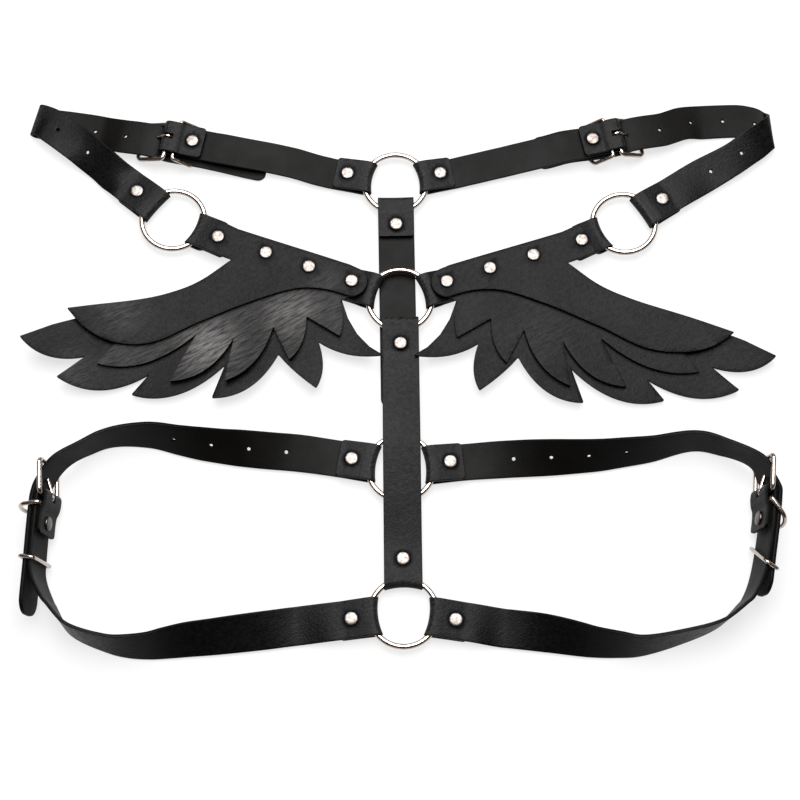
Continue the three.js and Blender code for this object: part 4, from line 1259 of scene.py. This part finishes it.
@dataclass
class NeckSide:
    """A neck strap with its buckle, and the shoulder strap that folds back to it."""

    side: Side
    finishes: Finishes
    heel: Vector
    neck_rivet: float
    shoulder_rivet: float
    frame_reach: float
    frame_shift: float
    bow: float
    front: list[Vector]
    tilts: tuple[float, ...]
    turn: list[np.ndarray]
    back: list[Vector]
    lean: float
    tail: list[Triple]
    tail_end: Triple
    holes: list[float]

    BUCKLE_HEIGHT = 8.6
    HALF = 9.1
    FRAME_HALF = 10.9
    FRAME_OUT = 4.6
    D_RING = DRing(11.7, 15.0, 0.7, math.radians(150))
    D_SHIFT = 0.5
    TIP = 4.5
    TIP_CUT = 4.2
    HEEL_START = -22
    THROUGH = ((26, 1.6), (18, 0.6), (12, 0.2), (8.5, 0.3), (5.5, 0.9), (2.5, 2.2), (-3, Buckle.TAIL_N))

    def build(self) -> None:
        """Models the side's two straps, its buckle and its rivets."""
        ring_end = RingFold(RINGS["neck"], self.heel, self.neck_rivet, True, half=self.HALF)
        heel = Vector((self.heel.x, self.heel.y, self.BUCKLE_HEIGHT))
        buckle = Buckle.placed(
            f"neck_{self.side.word}", heel, ring_end.along, Vector((0, 0, -1)), frame_out=self.FRAME_OUT,
            d_ring=self.D_RING, d_shift=self.side.value * self.D_SHIFT, reach=self.frame_reach,
            frame_shift=self.frame_shift, half_width=self.FRAME_HALF, tab_half=self.HALF,
            finishes=self.finishes)
        self.build_neck(ring_end, buckle)
        buckle.build()
        self.build_shoulder(buckle)

    def build_neck(self, ring_end: RingFold, buckle: Buckle) -> None:
        """Models the neck strap from its ring to the buckle's heel.

        Args:
            ring_end: Its fold at the neck ring.
            buckle: Its buckle.
        """
        ring, along = ring_end.ring, ring_end.along
        reach = math.hypot(self.heel.x - ring.x, self.heel.y - ring.y)
        bow = Vector((0, self.bow, 0))
        start = ring_end.from_tab() + straight(ring, along, [(42, 3.0)], self.HALF)
        start += straight(ring + bow, along, [(60, 3.2), (reach - 58, 4.2)], self.HALF)
        start += straight(ring + bow / 2, along, [(reach - 42, 6.4)], self.HALF)
        start += straight(ring, along, [(reach - 28, self.BUCKLE_HEIGHT)], self.HALF)
        rows = start + buckle.heel_fold(self.HEEL_START, True)
        Strap(f"strap_neck_{self.side.word}", rows, False, self.finishes,
              slot=Buckle.slot_after(len(start)),
              rivets=[ring_end.rivet, buckle.at(Buckle.RIVET_T, 0, 0)]).place()
        upright_rivet(f"rivet_neck_{self.side.word}", ring_end.rivet, self.finishes)

    def build_shoulder(self, buckle: Buckle) -> None:
        """Models the shoulder strap from its ring, round its crease and through the buckle.

        Args:
            buckle: The neck strap's buckle.
        """
        ring = RINGS[f"shoulder_{self.side.word}"]
        ring_end = RingFold(ring, self.front[0], self.shoulder_rivet, False, end=12.0, bow=0.5)
        crease = Vector(self.turn[0][1])
        ways = zip([ring, *self.front], [*self.front[1:], crease])
        rows = ring_end.from_tab()
        for spot, way, tilt in zip(self.front, ways, self.tilts):
            rows.append(flat_row(spot, heading(*way), spot.z, tilt=math.radians(tilt)))
        rows += self.turn
        for spot, ahead in zip(self.back, [*self.back[1:], self.heel]):
            rows.append(flat_row(spot, heading(spot, ahead), spot.z)[::-1])
        through = [(t, n, self.lean) for t, n in self.THROUGH]
        through += [(t, Buckle.TAIL_N + drop, shift) for t, shift, drop in self.tail]
        end_t, shift, drop = self.tail_end
        through += [(t, Buckle.TAIL_N + drop, shift) for t in (end_t + self.TIP, end_t)]
        rows += buckle.rows(through, True)
        Strap(f"strap_shoulder_{self.side.word}", rows, True, self.finishes, holes=self.holes,
              datum=ring_end.datum, end_corner=(self.TIP, self.TIP_CUT), rivets=[ring_end.rivet]).place()
        upright_rivet(f"rivet_shoulder_{self.side.word}", ring_end.rivet, self.finishes)


@dataclass
class BeltSide:
    """One side of the belt, standing on edge: a punched strap, a plain strap with a buckle, a keeper."""

    side: Side
    finishes: Finishes
    heel: Vector
    along: Vector
    frame_out: float
    far_rivet: Vector
    near_rivet: Vector
    punched: tuple[EdgeRow, ...]
    approach: list[Pair]
    tail_end: float
    plain: tuple[EdgeRow, ...]
    holes: tuple[float, ...] = (47, 67, 87, 107)
    d_turn: float = 97.0
    d_reach: float = 13.0
    keeper_slant: float = 0.14
    keeper_roll: float = 0.0

    LEAN = math.radians(11)
    D_HALF = 11.5
    D_SIDE = 0.58
    TIP = (8.0, 7.8)
    HEEL_START = -37
    TAIL_START = -40
    NEAR_RIVET_AT = 27.2
    FAR_RIVET_AT = 26.5

    def build(self) -> None:
        """Models the side's straps, its buckle and its rivets."""
        f, way, word = self.finishes, self.side.value, self.side.word
        outward = Vector((way * self.along.y, -way * self.along.x, 0)).normalized() * math.cos(self.LEAN)
        outward.z = -math.sin(self.LEAN)
        buckle = Buckle.placed(
            f"belt_{word}", self.heel, self.along, outward, frame_out=self.frame_out,
            d_ring=DRing(self.D_HALF, self.d_reach, self.D_SIDE, math.radians(self.d_turn)), keeper=True,
            keeper_slant=self.keeper_slant, keeper_roll=self.keeper_roll, finishes=f)
        near = RingFold(RINGS["belt_near"], self.near_rivet, self.NEAR_RIVET_AT, False)
        start = near.from_tab() + edge_route(self.plain, self.side)
        Strap(f"strap_belt_near_{word}", start + buckle.heel_fold(self.HEEL_START, False), True, f,
              slot=Buckle.slot_after(len(start)), rivets=[near.rivet]).place()
        upright_rivet(f"rivet_belt_near_{word}", near.rivet, f)
        buckle.build()

        far = RingFold(RINGS["belt_far"], self.far_rivet, self.FAR_RIVET_AT, True)
        tail = [(t, Buckle.TAIL_N) for t in (self.TAIL_START, self.tail_end + self.TIP[0], self.tail_end)]
        rows = far.from_tab() + edge_route(self.punched, self.side)
        rows += buckle.rows(self.approach + tail, False)
        Strap(f"strap_belt_far_{word}", rows, False, f, holes=list(self.holes), datum=far.datum,
              end_corner=self.TIP, rivets=[far.rivet]).place()
        upright_rivet(f"rivet_belt_far_{word}", far.rivet, f)


@dataclass(frozen=True)
class Feather:
    """A feather's tip and the notch after it, with the bow of its leading and long edges."""

    tip: Pair
    notch: Pair
    lead: float
    bow: float


@dataclass(frozen=True)
class WingPattern:
    """The cutting pattern of the three wing layers: u out along the rivets, v down to the tips."""

    bottom: tuple[Feather, ...] = (
        Feather((155.5, 96.6), (120.4, 90.6), 0, 5.6), Feather((129.6, 107.7), (84.9, 86), 0, 7),
        Feather((89.5, 99.9), (47.8, 67.5), 0, 8), Feather((47.3, 87.6), (22.7, 52.3), 0, 6.8),
        Feather((-3.6, 63.6), (4.8, 38.2), 1, 3), Feather((-31.2, 34.4), (-22.3, 31.7), 3, 0),
    )
    middle: tuple[Feather, ...] = (
        Feather((113, 91.6), (69, 56.4), 0, 7), Feather((72.3, 87), (48.7, 51.9), 0, 6.5),
        Feather((43.6, 77.6), (30.8, 39.1), 0, 5.5), Feather((15.2, 54.6), (16, 27.3), 0, 3),
        Feather((-5.2, 32), (2, 12), 0, 1.5),
    )
    bottom_close: tuple[Pair, ...] = (
        (-13.2, 26.6), (-5.3, 19.8), (2, 10.4), (-2, 10), (-2, -7), (54, -5.5), (78, 33), (104, 57),
        (126, 68), (142.5, 82.6),
    )
    middle_close: tuple[Pair, ...] = (
        (-3, 7), (-4, -6.5), (53, -5), (72, 27), (96, 62), (108, 77),
    )
    long_lower: tuple[Pair, ...] = (
        (-1, 8.6), (12, 9.4), (26, 13.8), (45, 27.4), (70, 50.2), (91, 71), (111, 79.8), (126, 81),
        (138, 77.6),
    )
    long_upper: tuple[Pair, ...] = (
        (138, 77.6), (118.5, 61.5), (92, 40.8), (78.8, 28), (66.8, 10),
    )
    top_close: tuple[Pair, ...] = ((82, 9.6), (82, -9.6), (70, -8.2))
    inner_end: tuple[Pair, ...] = (
        (4, -8.8), (-4.6, -7.3), (-8.2, -2.8), (-8.2, 3), (-5, 7.4), (-1, 8.6),
    )

    @staticmethod
    def curve(pairs: tuple[Pair, ...], steps: int) -> list[Pair]:
        """Points of a smooth curve through pairs."""
        points = [Vector((u, v, 0)) for u, v in pairs]
        return [catmull(points, i / steps)[:2] for i in range(steps + 1)]

    @staticmethod
    def bowed(start: Pair, end: Pair, bow: float, steps: int) -> list[Pair]:
        """Points of an edge that bows outwards, nearer its start than its end."""
        a, b = Vector(start), Vector(end)
        across = Vector((b.y - a.y, a.x - b.x)).normalized()
        control = a.lerp(b, 0.42) + across * 2 * bow
        return quadratic(a, control, b, steps)

    def feathered(self, feathers: tuple[Feather, ...]) -> list[Pair]:
        """The scalloped edge of a layer, from its outermost tip to its innermost notch."""
        points: list[Pair] = []
        for feather in feathers:
            if feather.lead > 0:
                points += self.bowed(points[-1], feather.tip, feather.lead, 10)[1:-1]
            elif points:
                points += self.bowed(points[-1], feather.tip, 0, 8)[1:-1]
            points += self.bowed(feather.tip, feather.notch, feather.bow, 18 if feather.bow else 2)
        return points

    @staticmethod
    def eased(outline: list[Pair], radius: float = 0.9) -> list[Pair]:
        """Rounds the sharp corners of an outline, as a cutting die does."""
        count, made = len(outline), []
        for k, spot in enumerate(outline):
            here = Vector(spot)
            back, ahead = (Vector(outline[(k + i) % count]) - here for i in (-1, 1))
            if back.angle(ahead) > math.radians(140) or min(back.length, ahead.length) < radius:
                made.append(spot)
                continue
            start, end = here + back.normalized() * radius, here + ahead.normalized() * radius
            made += quadratic(start, here, end, 4)
        return made

    def outline(self, layer: Layer) -> list[Pair]:
        """The outline of a layer, in u and v."""
        if layer is Layer.BOTTOM:
            return self.feathered(self.bottom) + list(self.bottom_close)
        if layer is Layer.MIDDLE:
            return self.feathered(self.middle) + list(self.middle_close)
        return (self.curve(self.long_lower, 64) + self.curve(self.long_upper, 32)[1:] + list(self.top_close)
                + self.curve(self.inner_end, 24)[:-1])


@dataclass
class Wing:
    """One wing: three feathered layers on four rivets, looped to the wing ring and the shoulder ring."""

    side: Side
    finishes: Finishes
    x: float
    y: float
    slope: float
    curl: float
    sweep: Triple
    lift: Triple
    # Base creasing of each layer: the wrinkles' bump and a painted sheen.
    sheen_and_wrinkle: Triple
    # Patches of extra creasing, with more wrinkle bump and painted sheen: layer, u, v, size and strength.
    spots: tuple[tuple[Layer, float, float, float, float], ...]
    pattern: WingPattern = WingPattern()

    RIVETS = (0.0, 25.0, 50.5, 79.0)
    STACKS = ((-1, 4), (0, 3), (0, 3), (1, 2))
    CELL = 3.6
    EDGE_ROUND = 0.22
    # Reach of the painted shade ring round the top layer's rivets.
    SHADE_RADIUS = 5.6
    INNER_BASE = 5.1
    OUTER_BASE = 3.0
    POINT_RISE = 3.6
    LOOP_HALF = 9.6
    LOOP_PAST = 2.5
    LOOP_SINK = 0.04
    BEND_FROM = 80.0
    FEATHER_LENGTH = 60.0

    @classmethod
    def bend(cls, u: float) -> float:
        """How far the outer end has bent at a place along the wing."""
        share = max(0.0, (u - cls.BEND_FROM) / cls.BEND_FROM)
        return share**2 if share < 0.5 else share - 0.25

    def height(self, u: float, v: float) -> float:
        """The height of the bottom layer's underside."""
        share, sag, inner = ramp(u, 0, 78), ramp(v, 10, 92), ramp(-u, 12, 19)
        share = share * share * (3 - 2 * share)
        base = self.INNER_BASE + (self.OUTER_BASE - self.INNER_BASE) * share
        return base * (1 - sag**2) + self.curl * self.bend(u) + self.POINT_RISE * inner**1.5

    def raised(self, u: float, v: float, layer: Layer) -> float:
        """How far a layer's feathers stand up past the edge of the top layer."""
        edge = np.interp(u, *zip(*self.pattern.long_lower))
        return self.lift[layer.value] * (max(0.0, v - float(edge)) / self.FEATHER_LENGTH) ** 1.6

    def place(self, u: float, v: float, h: float) -> Vector:
        """A point of the pattern, bent and laid in the part's frame."""
        c, s = math.cos(math.radians(self.slope)), math.sin(math.radians(self.slope))
        x, y = self.x + self.side.value * (u * c + v * s), self.y + u * s - v * c
        return Vector((x, y, self.height(u, v) + h))

    def plate(self, layer: Layer) -> Piece:
        """Cuts a layer from its pattern, rounds its rim, and bends it.

        Args:
            layer: The layer.

        Returns:
            The plate.
        """
        outline = self.pattern.eased(self.pattern.outline(layer))
        deselect()
        bpy.ops.mesh.primitive_circle_add(vertices=len(outline), radius=0.05, fill_type="NGON")
        piece = bpy.context.object
        mesh = piece.data
        for vertex, (u, v) in zip(mesh.vertices, outline):
            vertex.co = (u * MM, v * MM, 0)
        bpy.ops.object.mode_set(mode="EDIT")
        bpy.ops.mesh.select_all(action="SELECT")
        bpy.ops.mesh.extrude_region_move(TRANSFORM_OT_translate={"value": (0, 0, LEATHER * MM)})
        bpy.ops.mesh.select_all(action="SELECT")
        bpy.ops.mesh.normals_make_consistent(inside=False)
        bpy.ops.mesh.select_all(action="DESELECT")
        bpy.ops.mesh.select_mode(type="EDGE")
        bpy.ops.object.mode_set(mode="OBJECT")
        for edge in mesh.edges:
            a, b = (mesh.vertices[k].co.z for k in edge.vertices)
            edge.select = abs(a - b) < 1e-6
        bpy.ops.object.mode_set(mode="EDIT")
        bpy.ops.mesh.bevel(offset=self.EDGE_ROUND * MM, segments=2, profile=0.5, affect="EDGES",
                           clamp_overlap=True)
        us, vs = [p[0] for p in outline], [p[1] for p in outline]
        for axis, low, high in (((1, 0, 0), min(us), max(us)), ((0, 1, 0), min(vs), max(vs))):
            for k in range(1, math.ceil((high - low) / self.CELL)):
                spot = (low + self.CELL * k) * MM
                bpy.ops.mesh.select_all(action="SELECT")
                bpy.ops.mesh.bisect(plane_co=tuple(spot * a for a in axis), plane_no=axis)
        bpy.ops.object.mode_set(mode="OBJECT")
        self.dress(piece)
        level, sweep = layer.value * LAYER, self.sweep[layer.value]
        self.mark(piece, layer)
        for vertex in mesh.vertices:
            u, v, h = vertex.co / MM
            up = level + h + self.raised(u, v, layer)
            vertex.co = self.place(u, v - sweep * self.bend(u), up) * MM
        face_outward()
        bpy.ops.object.shade_smooth_by_angle(angle=LEATHER_SMOOTH)
        return piece

    def dress(self, piece: Piece) -> None:
        """Gives a flat plate its grain, flesh and edge finishes by the way that its faces look."""
        f = self.finishes
        for material in (f.wing, f.flesh, f.edge):
            piece.data.materials.append(material)
        for polygon in piece.data.polygons:
            face = Face.EDGE
            if abs(polygon.normal.z) > 0.8:
                face = Face.FRONT if polygon.center.z > HALF_LEATHER * MM else Face.BACK
            polygon.material_index = face.value

    def mark(self, piece: Piece, layer: Layer) -> None:
        """Writes the nearness of rivets, for the painted shade ring, and the wrinkled places of a flat
        plate, which also get a painted sheen.

        Args:
            piece: The plate, in u and v.
            layer: Its layer.
        """
        points = points_of(piece)
        # Base creasing from the layer's level of wrinkles and painted sheen.
        near, crease = np.zeros(len(points)), np.full(len(points), self.sheen_and_wrinkle[layer.value])
        # Painted shade rings round the rivets, on the top layer only.
        if layer is Layer.TOP:
            for u in self.RIVETS:
                out = np.hypot(points[:, 0] - u, points[:, 1])
                near = np.maximum(near, rivet_shade(out, self.SHADE_RADIUS))
        # Creased patches: more wrinkle bump and more painted sheen.
        for on, u, v, size, most in self.spots:
            if on is layer:
                out = np.hypot(points[:, 0] - u, points[:, 1] - v)
                crease = np.maximum(crease, most * np.exp(-((out / size) ** 2)))
        write_marks(piece, near, crease)

    def loop(self, ring: Vector, rivet: Vector, base: float) -> Piece:
        """Models the strip that runs from a plate round a ring and back under itself.

        Args:
            ring: The ring.
            rivet: The rivet that holds it.
            base: The underside of the strip's lower layer.

        Returns:
            The strip.
        """
        reach = math.hypot(rivet.x - ring.x, rivet.y - ring.y)
        fold = RingFold(ring, rivet, reach, False, base=base, half=self.LOOP_HALF, swell=0.0, ease=-2.2)
        sunk = base + LAYER + HALF_LEATHER - self.LOOP_SINK
        rows = fold.from_tab()[:-1]
        rows += straight(ring, fold.along, [(reach + self.LOOP_PAST, sunk)], self.LOOP_HALF)
        return Strap("loop", rows, True, self.finishes, rivets=[rivet]).build()

    def build(self) -> None:
        """Models the three layers and their rivets."""
        word = self.side.word
        rivets = [self.place(u, 0, 0) for u in self.RIVETS]
        loops = {Layer.BOTTOM: (RINGS["wing"], rivets[0], rivets[0].z - LAYER),
                 Layer.TOP: (RINGS[f"shoulder_{word}"], rivets[-1], rivets[-1].z + LAYER)}
        for layer in Layer:
            piece = self.plate(layer)
            if layer in loops:
                strip = self.loop(*loops[layer])
                deselect()
                strip.select_set(True)
                piece.select_set(True)
                bpy.context.view_layer.objects.active = piece
                bpy.ops.object.join()
            settle(piece, f"wing_{layer.word}_{word}")
        for k, ((level, layers), spot) in enumerate(zip(self.STACKS, rivets), 1):
            under = Vector((spot.x, spot.y, spot.z + level * LAYER))
            upright_rivet(f"rivet_wing_{word}_{k}", under, self.finishes, layers, 0.0)


@dataclass
class Studio:
    """The photograph's camera, a pale floor and soft light."""

    eye: Vector = field(default_factory=lambda: Vector((0.7, -298.1, 856.0)))
    aim: Vector = field(default_factory=lambda: Vector((0.7, -20.0, 0.0)))
    lens: float = 74.9
    sky: Triple = (0.85, 0.58, 0.43)
    sky_strength: float = 0.08

    SENSOR = 36
    FLOOR_SIZE = 16
    FLOOR_Z = -0.0002

    def camera(self) -> None:
        """Places the camera."""
        deselect()
        bpy.ops.object.camera_add(location=self.eye * MM)
        camera = bpy.context.object
        camera.rotation_euler = (self.aim - self.eye).to_track_quat("-Z", "Y").to_euler()
        camera.data.lens = self.lens
        camera.data.sensor_width = self.SENSOR
        bpy.context.scene.camera = camera

    def floor(self) -> None:
        """Lays the white surface that the harness rests on."""
        deselect()
        bpy.ops.mesh.primitive_plane_add(size=self.FLOOR_SIZE, location=(0, 0, self.FLOOR_Z))
        floor = bpy.context.object
        floor.name = "studio_floor"
        floor.data.materials.append(StudioPaper().make())

    def light(self, name: str, spot: Triple, size: float, power: float) -> None:
        """Adds a soft light that looks at the middle of the harness."""
        deselect()
        bpy.ops.object.light_add(type="AREA", location=spot)
        lamp = bpy.context.object
        lamp.name = name
        lamp.data.size = size
        lamp.data.energy = power
        lamp.rotation_euler = (Vector((0, 0, 0)) - Vector(spot)).to_track_quat("-Z", "Y").to_euler()

    def build(self) -> None:
        """Sets up the camera, the floor, the lights and the surroundings."""
        self.camera()
        self.floor()
        self.light("key_top", (0.0, 0.43, 1.2), 1.2, 57)
        scene = bpy.context.scene
        scene.view_settings.view_transform = "Standard"
        scene.world = scene.world or bpy.data.worlds.new("studio")
        scene.world.use_nodes = True
        ground = scene.world.node_tree.nodes["Background"]
        ground.inputs["Color"].default_value = (*self.sky, 1)
        ground.inputs["Strength"].default_value = self.sky_strength


def vec(x: float, y: float, z: float = 0.0) -> Vector:
    """A place or a direction, in plan unless it has a height."""
    return Vector((x, y, z))


def necks(finishes: Finishes) -> list[NeckSide]:
    """Both sides of the neck, as they lie in the photograph."""
    left = NeckSide(
        Side.LEFT, finishes, heel=vec(-129.7, 131.6), neck_rivet=27.4, shoulder_rivet=26.6,
        frame_reach=15.5, frame_shift=-2.5, bow=1.9,
        front=[vec(-161.9, 113, 5.4), vec(-168, 118.5, 6.0), vec(-175.9, 125, 7.0), vec(-182, 129.9, 7.6),
               vec(-190, 136, 7.4), vec(-198, 142.2, 6.6)],
        tilts=(-25, -29, -20, -7, 0, 0),
        turn=Bend(vec(-208.6, 137.2), vec(-204.2, 155.4), 2.0, 2.2).rows(Side.LEFT),
        back=[vec(-186, 142.5, 1.0), vec(-170, 139.6, 1.4)], lean=-2.2,
        tail=[(-16, -2.2, 0), (-28, -1.8, 1.5)], tail_end=(-57, -1.6, 4.5),
        holes=[46.4, 68.8, 121.4, 142, 163.2])
    right_edges = (
        (194.2, 113.9, 4.4, 184.4, 128.8, 8.4), (200.1, 118.2, 4.4, 190.4, 132.9, 9.2),
        (206.1, 122.6, 4.2, 196.2, 137, 10.2), (210.6, 126.9, 3.8, 203.2, 141.5, 10.4),
        (212.4, 129, 2.8, 208.6, 145.9, 8.8), (212.2, 130.2, 1.5, 210.2, 149.6, 4.4),
        (210, 131.8, 1, 208.2, 152.6, 1.6), (204, 134.6, 1, 203, 155.4, 1),
        (192.1, 136.9, 1, 192.3, 157.1, 1), (173.3, 135.6, 1.6, 174.2, 156.2, 1.6))
    right = NeckSide(
        Side.RIGHT, finishes, heel=vec(122.7, 133.2), neck_rivet=25.8, shoulder_rivet=26,
        frame_reach=13.0, frame_shift=1.4, bow=0.6, front=[vec(171.1, 111.1, 4.4)], tilts=(8,),
        turn=[row_between(vec(*ends[:3]), vec(*ends[3:])) for ends in right_edges],
        back=[vec(163, 144.4, 3.8)], lean=0.2, tail=[(-16, -0.4, 0), (-28, -2, 1.5)],
        tail_end=(-46, -2.4, 4.2), holes=[41.8, 62.3, 98.4, 116.8, 135.8, 156, 175.4])
    return [left, right]


def belts(finishes: Finishes) -> list[BeltSide]:
    """Both sides of the belt, as they lie in the photograph."""
    left = BeltSide(
        Side.LEFT, finishes, heel=vec(-185.3, -78, 13.5), along=vec(0.03, 1), frame_out=-0.5,
        far_rivet=vec(-25, -54.9), near_rivet=vec(-24, -140.5),
        punched=EdgeRow.table(
            (-58, -60.2, 11), (-70, -59.2, 20), (-85.5, -57.4, 30), (-96, -55.6, 41), (-106.2, -53.7, 47),
            (-117.5, -50.8, 56), (-133.2, -46.7, 66), (-154.6, -46.5, 80), (-167, -52, 85, 2)),
        approach=[(19.5, -7.2), (14.6, -3), (9.4, -0.2), (4.2, 2), (-2, 3.0)], tail_end=-62,
        plain=EdgeRow.table(
            (-52, -153.5, 5), (-66, -155.3, 16), (-85.5, -157.3, 28), (-96, -158.2, 34), (-107, -158.9, 40),
            (-117.5, -159.6, 49), (-128, -160, 59), (-139, -159.2, 66), (-150, -156.4, 74),
            (-169.5, -147, 84), (-179.4, -131.5, 96, 1.5)))
    right = BeltSide(
        Side.RIGHT, finishes, heel=vec(193.3, -76, 13.5), along=vec(0.17, 0.985), frame_out=-4,
        far_rivet=vec(27, -56.5), near_rivet=vec(29, -141),
        punched=EdgeRow.table(
            (58, -64, 13), (70, -63.3, 23), (82, -62.5, 32), (95, -61.2, 43), (107.3, -59.8, 50),
            (120, -57.5, 57), (134, -54.8, 64), (158.6, -48.4, 77), (175, -52.2, 84, 2)),
        approach=[(14.6, -5.8), (9, -2.6), (4.6, 0.8), (1.2, 2.7), (-3, 3.0)], tail_end=-54,
        plain=EdgeRow.table(
            (54, -154.6, 6), (69.5, -156.2, 18), (80, -157.2, 31), (91, -158.4, 42), (100, -159.1, 51),
            (112, -159.2, 60), (124.3, -158.3, 70), (145.2, -152.1, 80), (165.5, -143, 90),
            (178, -131, 97, 1.5)),
        holes=(45.7, 65.7, 85.6, 105.6), d_turn=135, d_reach=15.5, keeper_slant=-0.4, keeper_roll=0.45)
    return [left, right]


def wings(finishes: Finishes) -> list[Wing]:
    """Both wings: the left one is curled and wrinkled, with a painted sheen mostly on its middle layer; the
    right one lies nearly flat.
    """
    left = Wing(
        Side.LEFT, finishes, x=-25.8, y=44.9, slope=20.1, curl=19, sweep=(5, 3, 17), lift=(5.0, 8.0, 0.0),
        sheen_and_wrinkle=(0.15, 0.4, 0.12),
        spots=((Layer.TOP, 14, 6, 14, 0.35), (Layer.TOP, 112, 62, 20, 0.42),
               (Layer.MIDDLE, 24, 28, 24, 0.74), (Layer.MIDDLE, 60, 62, 24, 0.9),
               (Layer.BOTTOM, 122, 100, 16, 0.4)))
    right = Wing(
        Side.RIGHT, finishes, x=26.4, y=44.6, slope=18.8, curl=5, sweep=(0, 0, 0), lift=(2.6, 3.4, 0.0),
        sheen_and_wrinkle=(0.12, 0.15, 0.12), spots=((Layer.MIDDLE, 40, 45, 26, 0.3),))
    return [left, right]


def harness(finishes: Finishes) -> list[RingSet | CentreStraps | NeckSide | BeltSide | Wing]:
    """The harness's sub-assemblies in the order that they are built.

    Args:
        finishes: The materials.

    Returns:
        The sub-assemblies.
    """
    return [RingSet(finishes), CentreStraps(finishes), *necks(finishes), *belts(finishes), *wings(finishes)]


def main() -> None:
    """Builds the studio and the harness."""
    logging.basicConfig(level=logging.INFO, format="%(message)s")
    Studio().build()
    for part in harness(Finishes.made()):
        part.build()
    deselect()


if __name__ == "__main__":
    main()
